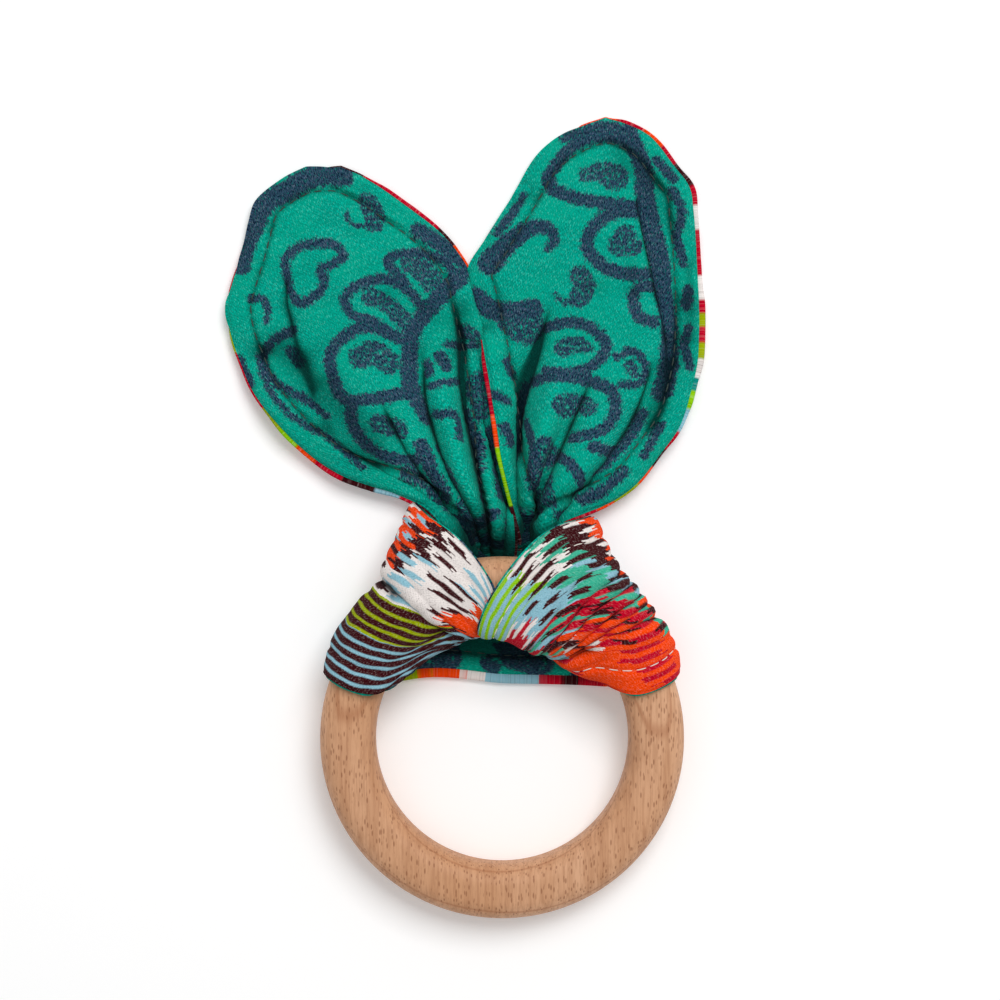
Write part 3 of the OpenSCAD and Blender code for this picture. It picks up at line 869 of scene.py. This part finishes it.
# The plaid in bands across the strip. Each band: how far it reaches across from the lower hem
# on the left and on the right half, the colours of its lines, and those of the gaps between
# them. A colour holds from its place along the strip (negative to the left) to the next one.
STRIP_PLAID = [
    (11.2, 9,
     "-110 maroon, -19 olive, -15.4 orange, -6.2 white, -1.5 sky, 8.6 crimson, 13 maroon, "
     "17 crimson, 22 orange, 42 crimson, 49 orange, 60 crimson, 64 orange",
     "-110 sky, -20 lime, -14.5 orange, -7 white, -3 sky, 8 crimson, 12 maroon, 16 crimson, "
     "19 orange, 75 white"),
    (19, 17.2,
     "-110 sky, -55 maroon, -10 orange, 14 maroon, 28 crimson, 34 maroon, 38 crimson, 43 maroon, "
     "46 crimson, 49 orange, 52 maroon, 56 mint, 62 maroon, 70 crimson",
     "-110 white, -56 sky, -51 olive, -24 sky, 0 white, 26 orange, 36 mint, 39 orange, 51 white, "
     "54 orange, 58 sky, 66 orange"),
    (24.6, 22.5,
     "-110 maroon, -62 orange, -49 maroon, -47 white, -40 sky, -35 white, -32 maroon, 0 crimson, "
     "20 maroon, 36 crimson, 41 maroon, 45 crimson, 51 maroon, 55 mint, 60 maroon, 68 crimson",
     "-110 white, -60 orange, -48 white, -25 orange, 0 lime, 20 sky, 34 mint, 39 crimson, "
     "45 mint, 50 sky, 55 crimson, 60 mint, 66 white"),
    (29.6, 28.8,
     "-110 maroon, -63 orange, -50 white, -48 maroon, -40 white, -37 sky, -33 maroon, "
     "-28 orange, -25 maroon, -16 sky, 0 orange, 15 maroon, 25 orange, 28 maroon, 33 mint, "
     "37 maroon, 41 sky, 44 maroon, 48 sky, 51 crimson, 60 maroon",
     "-110 white, -62 orange, -48.5 white, -35 maroon, -32 orange, -26 white, 0 sky, 20 white, "
     "27 maroon, 31 sky, 36 mint, 42 sky, 50 white, 55 crimson, 60 sky"),
    (60, 60,
     "-110 maroon, -60 orange, -50 sky, -43 white, -39 maroon, -35 white, -33 maroon, -29 sky, "
     "-26 orange, -23 maroon, -15 sky, 0 maroon, 16 sky, 20 orange, 25 maroon, 36 white, "
     "38 maroon, 44 sky, 60 crimson, 64 lime, 68 maroon",
     "-110 white, -58 orange, -49 white, -35 maroon, -31 orange, -25 white, 0 orange, 18 sky, "
     "21 orange, 25 white, 29 maroon, 33 mint, 38 white, 43 lime, 64 orange"),
]

# The same cloth under the ears, by distance across and along each ear.
EAR_PLAID = [
    (-17, -17,
     "20 maroon, 50 crimson, 58 maroon, 70 sky, 84 crimson, 96 maroon, 108 orange",
     "20 orange, 48 lime, 62 white, 76 crimson, 92 sky, 104 orange"),
    (-6, -6,
     "20 sky, 46 maroon, 64 orange, 72 maroon, 88 crimson, 100 maroon",
     "20 white, 50 sky, 66 orange, 82 white, 96 lime, 108 crimson"),
    (7, 7,
     "20 maroon, 42 crimson, 56 maroon, 78 sky, 90 maroon, 104 crimson",
     "20 lime, 44 orange, 60 white, 80 lime, 92 orange, 106 white"),
    (18, 18,
     "20 orange, 48 maroon, 60 sky, 74 maroon, 86 orange, 98 maroon",
     "20 crimson, 52 white, 70 lime, 84 crimson, 94 sky"),
    (90, 90,
     "20 maroon, 40 crimson, 62 maroon, 76 crimson, 88 orange, 100 crimson",
     "20 white, 44 orange, 58 sky, 74 olive, 86 crimson, 98 orange"),
]


def plaid_material(name, bands, low, high, rimmed):
    """Cotton woven in long lines whose colours change by dashes, in bands across the cloth.

    The colours' places along the cloth lie from low to high. A rimmed cloth has its own colours
    round its edge.
    """
    m = Shade(name)
    cloth = m.attribute("cloth", "Vector")
    fibre = m.noise(cloth, (2.6, 3.4, 1), 3, 0.7)
    drift = m.noise(cloth, 0.22, 1)
    part = m.parts(cloth)
    across = m.math("MULTIPLY_ADD", drift, 0.8, m.math("MULTIPLY_ADD", fibre, 0.22, part[0]))
    lines = m.math("DIVIDE", across, LINE_PITCH)
    number = m.math("FLOOR", lines)
    within = m.math("ABSOLUTE", m.math("SUBTRACT", m.math("FRACT", lines), 0.5))
    wide = m.math("MULTIPLY", m.smooth(part[1], -27, -34), m.smooth(part[0], 24, 19))
    on_line = m.smooth(m.math("MULTIPLY_ADD", wide, -0.07, within), 0.35, 0.18)
    yarn = m.math("FLOOR", m.math("DIVIDE", across, YARN_PITCH))
    feather = m.math("MULTIPLY", m.math("SUBTRACT", m.chance(yarn), 0.5), 2.6)
    gap_number = m.math("FLOOR", m.math("ADD", lines, 0.5))
    along = m.math("ADD", m.math("MULTIPLY_ADD", fibre, 1.3, part[1]), feather)
    right = m.math("GREATER_THAN", part[1], 0.0)
    colour = None
    reach = 0.0
    for k, (left_reach, right_reach, line_stops, gap_stops) in enumerate(bands):
        looks = []
        for stops, count, jitter in ((line_stops, number, 6.0), (gap_stops, gap_number, 2.6)):
            shift = m.chance(m.math("ADD", count, 17.0 * k + jitter))
            place = m.math("MULTIPLY_ADD", shift, jitter, along)
            place = m.math("SUBTRACT", place, jitter / 2 + low)
            place = m.math("DIVIDE", place, high - low)
            looks.append(m.ramp(place, [((at - low) / (high - low), PLAID[c])
                                        for at, c in marked(stops)]))
        look = m.mix(on_line, looks[1], looks[0])
        if colour is None:
            colour = look
        else:
            colour = m.mix(m.math("GREATER_THAN", across, reach), colour, look)
        reach = m.math("MULTIPLY_ADD", right, right_reach - left_reach, left_reach)
    if rimmed:
        colour = m.mix(m.attribute("rim"), colour, m.attribute("tint", "Color"))
    colour = m.stain(colour, fibre, 0.5, 0.72, 0.24, rgb(225, 215, 210))
    shaded = m.mix(1.0, colour, rgb(140, 130, 130), "MULTIPLY")
    colour = m.stain(colour, fibre, 0.5, 0.3, 0.5, shaded)
    # Painted shade: the cotton's colour sinks towards a dark red-brown in its creases.
    colour = m.with_painted_shade(colour, m.attribute("fold"), rgb(20, 8, 12))
    height = weave(m, cloth, 0.5, 0.25)
    return m.finish(colour, 0.9, m.bump(height, 0.14), sheen=0.02, specular=0.03)


def thread_material(name, colour, light):
    m = Shade(name)
    strands = m.noise(m.place(), (5200, 5200, 2600), 3, 0.6)
    return m.finish(m.mix(strands, colour, light), 0.8, m.bump(strands, 0.08), sheen=0.1)


def wood_material():
    """Beech: fine grain and streaks along the board, growth lines, and short dark flecks."""
    m = Shade("beech")
    place = m.place()
    grain = m.noise(place, (2300, 130, 900), 4, 0.7)
    streak = m.noise(place, (700, 26, 300), 3, 0.6)
    broad = m.noise(place, (60, 18, 60), 2)
    cells = m.node("TexVoronoi", {"Vector": m.scaled(place, (2100, 560, 2100)), "Scale": 1.0,
                                  "Randomness": 1.0})
    keep = m.parts(cells["Color"])[0]
    fleck = m.math("MULTIPLY", m.smooth(cells["Distance"], 0.42, 0.22),
                   m.smooth(keep, 0.25, 0.6))
    wander = m.noise(place, (30, 14, 30), 1)
    level = m.math("MULTIPLY_ADD", m.parts(place)[1], 0.03, m.parts(place)[2])
    layer = m.math("MULTIPLY_ADD", wander, 0.5, m.math("DIVIDE", level, 0.0043))
    year = m.math("FRACT", m.math("ADD", layer, 0.22))
    late = m.math("ABSOLUTE", m.math("SUBTRACT", year, 0.5))
    colour = m.mix(m.smooth(broad, 0.3, 0.7), rgb(205, 152, 112), rgb(220, 170, 133))
    colour = m.stain(colour, streak, 0.42, 0.7, 0.45, rgb(180, 126, 88))
    colour = m.stain(colour, grain, 0.42, 0.64, 0.42, rgb(166, 114, 80))
    colour = m.stain(colour, late, 0.06, 0.0, 0.45, rgb(160, 98, 60))
    colour = m.mix(m.math("MULTIPLY", fleck, 0.62), colour, rgb(136, 84, 52))
    height = m.math("MULTIPLY_ADD", fleck, -0.6, grain)
    return m.finish(colour, m.math("MULTIPLY_ADD", grain, 0.12, 0.5), m.bump(height, 0.03),
                    specular=0.3)


# ---------------------------------------------------------------- pieces
def dress(made, material, nodes):
    """Gives a piece its material and slot, and hides the CAD nodes that it stands for."""
    made.data.materials.append(MATERIALS[material])
    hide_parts(*nodes)


def build_ring():
    around, about = RING_GRID
    a = np.linspace(0, 2 * math.pi, around, endpoint=False)
    b = np.linspace(0, 2 * math.pi, about, endpoint=False)
    corner = np.stack([np.cos(b), np.sin(b)], -1)
    section = corner * TUBE_ROUND + np.clip(corner * 8, -1, 1) * TUBE_HALF
    radius = RING_MID + section[:, 0]
    q = np.stack([np.outer(np.cos(a), radius), np.outer(np.sin(a), radius),
                  np.outer(np.ones(around), section[:, 1])], -1)
    faces = grid_faces(around, about, wrap=True)
    last = (around - 1) * about
    for n in range(about):
        k = (n + 1) % about
        faces.append([last + n, last + k, k, n])
    made = make_mesh("beech_ring", from_ring(q).reshape(-1, 3), faces)
    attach(made, "ring")
    dress(made, "beech", ["ring"])


# ---------------------------------------------------------------- camera, light and table
# Places are in metres. The photograph was taken from straight above.
CAMERA_AT = (-0.0004, 0.0458, 0.4626)
LENS = 85
SENSOR = 36
LIT_POINT = (0, 0.045, 0)
TABLE_HALF = 4.0
TABLE_Z = -0.0002

# Each lamp: name, place, size and watts.
LAMPS = [("key", (0.27, 0.56, 0.95), 0.58, 8.0), ("fill", (-0.4, 0.1, 1.1), 0.8, 1.0)]


def build_studio():
    scene = bpy.context.scene
    scene.view_settings.view_transform = "Standard"
    floor_mesh = bpy.data.meshes.new("table_top")
    r = TABLE_HALF
    floor_mesh.from_pydata([(-r, -r, 0), (r, -r, 0), (r, r, 0), (-r, r, 0)], [], [(0, 1, 2, 3)])
    floor = bpy.data.objects.new("table_top", floor_mesh)
    scene.collection.objects.link(floor)
    floor.location.z = TABLE_Z
    m = Shade("table_white")
    m.surface.inputs["Emission Color"].default_value = (1, 1, 1, 1)
    m.surface.inputs["Emission Strength"].default_value = 0.11
    floor_mesh.materials.append(m.finish(rgb(251, 251, 251), 0.9, specular=0.1))

    world = bpy.data.worlds.new("studio")
    world.use_nodes = True
    world.node_tree.nodes["Background"].inputs["Color"].default_value = (1, 1, 1, 1)
    world.node_tree.nodes["Background"].inputs["Strength"].default_value = 0.42
    scene.world = world
    for name, place, size, watts in LAMPS:
        lamp = bpy.data.lights.new(name, "AREA")
        lamp.size = size
        lamp.energy = watts
        made = bpy.data.objects.new(name, lamp)
        made.location = place
        way = Vector(LIT_POINT) - Vector(place)
        made.rotation_euler = way.to_track_quat("-Z", "Y").to_euler()
        scene.collection.objects.link(made)

    lens = bpy.data.cameras.new("camera")
    lens.lens = LENS
    lens.sensor_width = SENSOR
    camera = bpy.data.objects.new("camera", lens)
    camera.location = CAMERA_AT
    scene.collection.objects.link(camera)
    scene.camera = camera


# ---------------------------------------------------------------- hitch
# The strip between the ears, one side at a time: rows from the middle of the band behind the
# ring, round the ring's outer edge, over its front, down through the hole and back to the
# neck. Each row gives points from the lower hem (level 0) to the upper edge (level 1). A crease
# on the front is its level at the ring's outer edge and at the plunge into the hole, its depth
# and its width as a share of the strip's.
HITCH = {
    "left": {
        "levels": (0, 0.3, 0.52, 0.6, 0.8, 1),
        "rows": [
            [(0, 12, 1.3), (0, 19.5, 1), (0, 26, 1), (0, 28, 1), (0, 34, 1.2), (0, 39.4, 1.6)],
            [(-14, 13.2, 1.3), (-12.5, 19.2, 1), (-10.5, 26, 1), (-10, 28.4, 1), (-9, 34.6, 1.3),
             (-8, 39.8, 1.9)],
            [(-27.6, 11.2, 2), (-24.5, 20.5, 1.9), (-19.5, 27.6, 1.9), (-18.5, 30, 1.9),
             (-15.8, 35.6, 2.3), (-12.8, 40.4, 3)],
            [(-33.6, 13.2, 7.8), (-30.6, 22.2, 9), (-24, 30.2, 9.5), (-22.8, 33, 9.8),
             (-20.7, 37.8, 9.4), (-17, 45.2, 8.2)],
            [(-30.8, 10.8, 13.8), (-28.6, 20.8, 14.2), (-22.4, 28, 14.2), (-20.9, 32, 15.4),
             (-18.2, 37.2, 14.2), (-14, 42.4, 12.8)],
            [(-26.2, 9.2, 14.2), (-24.2, 17.6, 15.3), (-18.4, 24.2, 15.4), (-17.2, 27.4, 17.4),
             (-14.2, 33.2, 17.2), (-9.6, 39.4, 15.6)],
            [(-21.2, 10.2, 13.2), (-18.8, 16.8, 14.2), (-14.2, 21.2, 14.2), (-12.8, 23.2, 17),
             (-9.6, 28.4, 17.4), (-5, 34.4, 16.6)],
            [(-14.6, 15.6, 11.4), (-12.8, 17.8, 12.6), (-9.8, 19.6, 12.8), (-8.6, 20.2, 15),
             (-5.8, 22.6, 15.4), (-1.6, 28.4, 15.8)],
            [(-9.2, 18.8, 9.2), (-7.8, 19, 10), (-6, 19.2, 10.4), (-5, 19.5, 11.4),
             (-3, 20.2, 11.6), (-0.9, 22.2, 11.6)],
            [(-8, 20.4, 5.4), (-6.6, 20.6, 5.4), (-4.9, 20.8, 5.4), (-4.2, 20.8, 5.4),
             (-2.4, 21, 5.6), (-0.9, 21.6, 5.8)],
            [(-7.9, 24.5, 3.1), (-6, 24.5, 3.1), (-4.4, 24.5, 3.1), (-3.7, 24.5, 3.1),
             (-2.1, 24.5, 3.1), (-0.6, 24.5, 3.1)],
            [(-7.8, 31, 3), (-5.8, 31, 3), (-4.2, 31, 3), (-3.5, 31, 3), (-2, 31, 3),
             (-0.5, 31, 3)],
        ],
        "creases": [(0.54, 0.55, 2.8, 0.018), (0.47, 0.46, 0.9, 0.016), (0.66, 0.64, 0.9, 0.03),
            (0.8, 0.76, 0.6, 0.03), (0.36, 0.38, 0.5, 0.02)],
    },
    "right": {
        "levels": (0, 0.25, 0.42, 0.5, 0.75, 1),
        "rows": [
            [(0, 12, 1.3), (0, 18, 1), (0, 23.1, 1), (0, 25.4, 1), (0, 32.4, 1.2), (0, 39.4, 1.6)],
            [(14, 11.7, 1.3), (13, 17.6, 1), (12, 23.2, 1), (11, 25.6, 1), (9.4, 33, 1.3),
             (8, 39.8, 1.9)],
            [(27.6, 11.2, 2), (26, 17.6, 1.9), (24, 21.6, 1.9), (22, 25.2, 1.9), (17.4, 33.6, 2.3),
             (13, 39.8, 3)],
            [(33.8, 13.4, 7.8), (32.6, 18.6, 9), (30.4, 23.2, 9.6), (28.4, 26.6, 9.8),
             (22.4, 33.4, 9.8), (17.5, 42.4, 8.4)],
            [(30.8, 10.8, 13.8), (30, 16.8, 14.2), (28, 22.2, 14.8), (26.2, 25.2, 15.6),
             (20, 32, 15.6), (14.8, 41.8, 12.6)],
            [(26.2, 9.1, 14.2), (25.6, 14.8, 15.2), (24.4, 20.4, 16.2), (22.4, 22.6, 17.4),
             (15.8, 30.2, 17.6), (10.2, 40.6, 15.4)],
            [(22.4, 9.8, 13.2), (21.6, 13.8, 14.4), (20.4, 18.4, 15.8), (18.4, 19.8, 17),
             (12.4, 26.6, 18.2), (4.6, 36.2, 17.4)],
            [(19.2, 11.4, 11.2), (18, 13.2, 12.8), (16.4, 15.8, 14), (14.4, 16.8, 15.2),
             (8.4, 21.2, 17.2), (-1.6, 28, 18.2)],
            [(15.8, 12.4, 8.6), (14.4, 12.9, 10.4), (12.4, 13.8, 11.6), (10.4, 14.6, 12.6),
             (5.2, 17.2, 14), (-4.4, 21, 14.8)],
            [(11.6, 15.8, 5.2), (10.2, 16.4, 5.4), (8.6, 17.2, 5.6), (7.4, 17.8, 5.8),
             (3.8, 20.2, 6.4), (-1.2, 22, 7.6)],
            [(8.6, 24.5, 3.1), (7, 24.5, 3.1), (5.6, 24.5, 3.1), (4.8, 24.5, 3.1),
             (2.6, 24.5, 3.1), (0.7, 24.5, 3.1)],
            [(8.6, 31, 3), (6.8, 31, 3), (5.4, 31, 3), (4.6, 31, 3), (2.4, 31, 3), (0.6, 31, 3)],
        ],
        "creases": [(0.43, 0.44, 3, 0.018), (0.5, 0.48, 2.4, 0.014), (0.56, 0.53, 2.6, 0.014),
            (0.64, 0.59, 2.4, 0.016), (0.72, 0.65, 2.2, 0.018), (0.81, 0.74, 1.2, 0.02),
            (0.9, 0.86, 0.5, 0.03), (0.3, 0.36, 0.6, 0.02)],
    },
}
# The rows at the ring's outer edge and at the plunge, the band's lowest height, how often the
# strip is smoothed, and how far its middle stays from the wood meanwhile and once creased.
OUTER_ROW = 3
PLUNGE_ROW = 8
BAND_Z = 0.95
SMOOTHINGS = 24
SMOOTH_GAP = 1.2
CREASED_GAP = 1.05


def hitch_surface():
    """The middle surface of the strip from the left neck round to the right one."""
    rows, cols = HITCH_GRID
    v = np.linspace(0, 1, cols)
    halves, creases = [], []
    for side in ("left", "right"):
        part = HITCH[side]
        knots = np.array([curve(row, v, part["levels"]) for row in part["rows"]])
        place = chords(knots[:, cols // 2])[0]
        even = np.linspace(0, 1, rows)
        halves.append(curve(knots, even, place))
        travel = np.clip((even - place[OUTER_ROW]) / (place[PLUNGE_ROW] - place[OUTER_ROW]), 0, 1)
        front = step(even, place[OUTER_ROW] - 0.1, place[OUTER_ROW] + 0.04)
        front *= step(even, place[PLUNGE_ROW + 1], place[PLUNGE_ROW] - 0.02)
        fold = np.zeros((rows, cols))
        for start, end, depth, wide in part["creases"]:
            at = start + (end - start) * travel
            d = np.sqrt((v[None, :] - at[:, None]) ** 2 + 0.00001)
            fold += depth * front[:, None] * np.exp(-d / wide)
        creases.append(fold)
    surface = np.concatenate([halves[0][:0:-1], halves[1]])
    fold = np.concatenate([creases[0][:0:-1], creases[1]])
    for _ in range(SMOOTHINGS):
        surface = off_wood(blur(surface, 1), SMOOTH_GAP)
        surface[..., 2] = np.maximum(surface[..., 2], BAND_Z)
    n = grid_normals(surface)
    along = travelled(surface)
    along -= along[rows - 1]
    across = travelled(surface, 1)
    across *= STRIP_W / across[:, -1:]
    crumple = 0.3 * ripple(along, across, 12, 5) + 0.16 * ripple(along, across, 5, 6)
    surface = surface + n * (fold + crumple * step(np.abs(along), 22, 34))[..., None]
    surface = off_wood(surface, CREASED_GAP)
    surface[..., 2] = np.maximum(surface[..., 2], BAND_Z)
    surface = blur(surface, 1)
    cloth = np.stack([across, along], -1)
    return surface, cloth


def build_hitch():
    surface, cloth = hitch_surface()
    across, along = cloth[..., 0], np.abs(cloth[..., 1])
    edge = np.minimum(across, STRIP_W - across)
    ink = petal_fill(cloth, 3, 8.5)
    # The band's lower hem shows a rim of plaid, and the band has painted shade up under the arms.
    reach = 0.12 + 1.9 * step(across, 3, 0) * step(along, 27, 20)
    deep = 0.75 * step(across, -0.5, 5) * step(along, 32, 24)
    flannel, plaid, n, above, below = layers(
        "hitch", surface, edge, np.ones_like(edge), cloth, ink, reach, 29, deep)
    outside, inside = [], []
    for place in (STITCH_IN, STRIP_W - STITCH_IN):
        cols = [np.interp(place, line, np.arange(len(line))) for line in across]
        row = np.stack([np.arange(len(cols)), cols], -1)[12:-12]
        up, under = sample(n, row), sample(below, row)
        # On the left half the stitches sink into the cloth, and on the right half they show.
        half = len(row) // 2
        outside += stitch_paths(under[:half], -up[:half], 2.3, -0.1)
        outside += stitch_paths(under[half:], -up[half:], 2.4, 0.05)
        inside += stitch_paths(sample(above, row), up)
    for name, paths, thread, nodes in (
            ("outside", outside, "light_thread", ["left_wrap_topstitch", "right_wrap_topstitch"]),
            ("inside", inside, "teal_thread", ["band_topstitch"])):
        made = tube_mesh("hitch_topstitch_" + name, paths, THREAD * 0.42)
        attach(made, "hitch")
        dress(made, thread, nodes)
    for made, layer in ((flannel, "flannel"), (plaid, "plaid")):
        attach(made, "hitch")
        dress(made, layer, ["band_" + layer] + [side + part + layer
                                                for side in ("left_", "right_")
                                                for part in ("wrap_", "arm_", "neck_")])


# ---------------------------------------------------------------- ears in place
# What the small waves of each ear's cloth start from.
EAR_SEEDS = {"left": 11, "right": 47}

# Colours of the plaid that shows at the ears' rims, by x and y.
RIM_TINTS = {
    "left":
        "-30 110 maroon, -24 107 crimson, -18 103 crimson, -14 99.5 crimson, -11 96.5 maroon, "
        "-8.4 93.6 orange, -6.6 90.5 orange, -5 84 maroon, -52.5 88 crimson, -53.4 83 teal, "
        "-52.4 77 olive, -50.6 72.5 crimson, -47.6 66.5 crimson, -44 61.6 olive, -41 58.4 lime, "
        "-37.4 55.2 orange, -33.4 52.2 crimson, -29 50 maroon, -25.6 49 maroon, -22 48 sky, "
        "-17.6 46.8 crimson, -12 44 maroon, -46 102 teal, -38 110.4 teal, -1.8 62 maroon, "
        "0.6 50 maroon",
    "right":
        "10 115.4 teal, 19.4 119.7 orange, 25 118.2 crimson, 29.4 116 orange, 32 112.6 crimson, "
        "35 109 maroon, 36.6 105.4 crimson, 37.2 101 white, 37.7 96.5 crimson, 38.1 91 crimson, "
        "38.3 87.4 white, 38.6 84 crimson, 38.6 80.6 olive, 38.4 77.6 crimson, 38.1 75 olive, "
        "37.6 72 white, 37 69 teal, 36.2 66 lime, 34.6 61.4 sky, 32.6 58 crimson, "
        "30 54.4 maroon, 27.6 51 orange, 23.6 47.4 olive, 19.6 44.8 orange, 16.6 43.4 crimson, "
        "-3.2 75 crimson, -1.6 65 crimson, -0.8 59 orange, 0.2 53 lime, 1.4 47 lime, "
        "2.6 41.6 maroon, 3.5 37.4 maroon, -5.4 84 maroon, -3.4 95 teal, 3 105.8 teal",
}


# How far the plaid shows past the flannel: x, y and reach at places round each ear's edge.
RIMS = {
    "left": [(-38, 110, 0.1), (-30, 110, 0.5), (-20, 104, 0.95), (-12, 97.5, 0.9), (-7, 91, 0.7),
        (-4, 78, 0.2), (-1, 60, 0.2), (-46, 104, 0), (-50, 95, 0.1), (-52, 88, 0.5),
        (-53.5, 83, 0.1), (-52, 76, 0.6), (-47, 66, 0.7), (-40, 57, 1.1), (-32, 51, 1.25),
        (-25, 48.5, 1.3), (-17, 46.6, 0.9), (-10, 42, 0.5)],
    "right": [(10, 115.4, 0), (19, 119.6, 0.4), (25, 118, 0.9), (33, 111.6, 1), (36.5, 106, 1.2),
        (37.4, 100, 1.1), (38.2, 90, 1.1), (38.4, 82, 1.5), (38, 74, 1.5), (36.8, 67.6, 1.2),
        (34, 60, 0.9), (30, 54.4, 0.7), (25, 48.6, 0.8), (17, 43.6, 0.7), (5, 109, 0), (-4, 95, 0),
        (-6, 88, 0.1), (-4, 78, 0.5), (-2.6, 71, 1.1), (-1, 60, 1.1), (1, 48, 0.9), (3, 40, 0.8)],
}


def rim_reach(flat, marks):
    """The rim's reach at plan points, blended between the nearest marks."""
    places, reach = np.array([m[:2] for m in marks]), np.array([m[2] for m in marks])
    weight = 1 / (np.linalg.norm(flat[..., None, :] - places, axis=-1) ** 3 + 0.2)
    return (weight * reach).sum(-1) / weight.sum(-1)


def rim_tints(flat, tints):
    """The rim's colour at plan points, from the nearest mark, with wavy borders between."""
    marks = marked(tints)
    places = np.array([m[:2] for m in marks])
    colours = np.array([PLAID[m[2]] for m in marks])
    wave = np.stack([ripple(flat[..., 0], flat[..., 1], 3, 71),
                     ripple(flat[..., 0], flat[..., 1], 3, 72)], -1)
    d = np.linalg.norm((flat + 0.8 * wave)[..., None, :] - places, axis=-1)
    return colours[np.argmin(d, axis=-1)]


def build_ear(side):
    ear, body, seed = EARS[side], side + "_ear", EAR_SEEDS[side]
    # deep is the painted shade that ear_surface works out for the flannel.
    surface, edge, flat, deep = ear_surface(ear, seed)
    cloth = ear_cloth(surface, flat, ear["axis"])
    ink = ear_print(STROKES[side], cloth, flat)
    hem = step(flat[..., 1], 33, 36)
    flannel, plaid, n, above, below = layers(
        body + "_cloth", surface, edge, hem, cloth, ink, rim_reach(flat, RIMS[side]), seed, deep,
        rim_tints(flat, RIM_TINTS[side]))
    outline = np.concatenate([flat[:, 0], flat[-1, 1:-1], flat[::-1, -1]])
    outline = outline[outline[:, 1] > 44]
    middle = flat.reshape(-1, 2).mean(0)
    row = inset_line(outline, middle, STITCH_IN)
    row = row[row[:, 1] > 47]
    up = lift(row, flat, n)
    stitches = tube_mesh(body + "_stitches", stitch_paths(lift(row, flat, above), up)
                         + stitch_paths(lift(row, flat, below), -up), THREAD / 2)
    row = inset_line(outline, middle, SEAM_IN)
    seam = tube_mesh(body + "_seam", stitch_paths(lift(row, flat, surface), lift(row, flat, n),
                                                  SEAM_LONG, 0.0), SEAM_THREAD)
    for made, node, material in ((flannel, "_flannel", "flannel"),
                                 (plaid, "_plaid", "ear_plaid"),
                                 (stitches, "_topstitch", "teal_thread"),
                                 (seam, "_seam_thread", "light_thread")):
        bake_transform(made)
        dress(made, material, [body + node])


# ---------------------------------------------------------------- the whole scene
MATERIALS = {
    "beech": wood_material(),
    "flannel": flannel_material(),
    "plaid": plaid_material("plaid_cotton", STRIP_PLAID, -110.0, 110.0, False),
    "ear_plaid": plaid_material("plaid_cotton_ears", EAR_PLAID, 20.0, 125.0, True),
    "light_thread": thread_material("light_thread", rgb(214, 202, 190), rgb(240, 234, 226)),
    "teal_thread": thread_material("teal_thread", rgb(18, 50, 48), rgb(58, 68, 58)),
}

build_studio()
build_ring()
build_hitch()
build_ear("left")
build_ear("right")
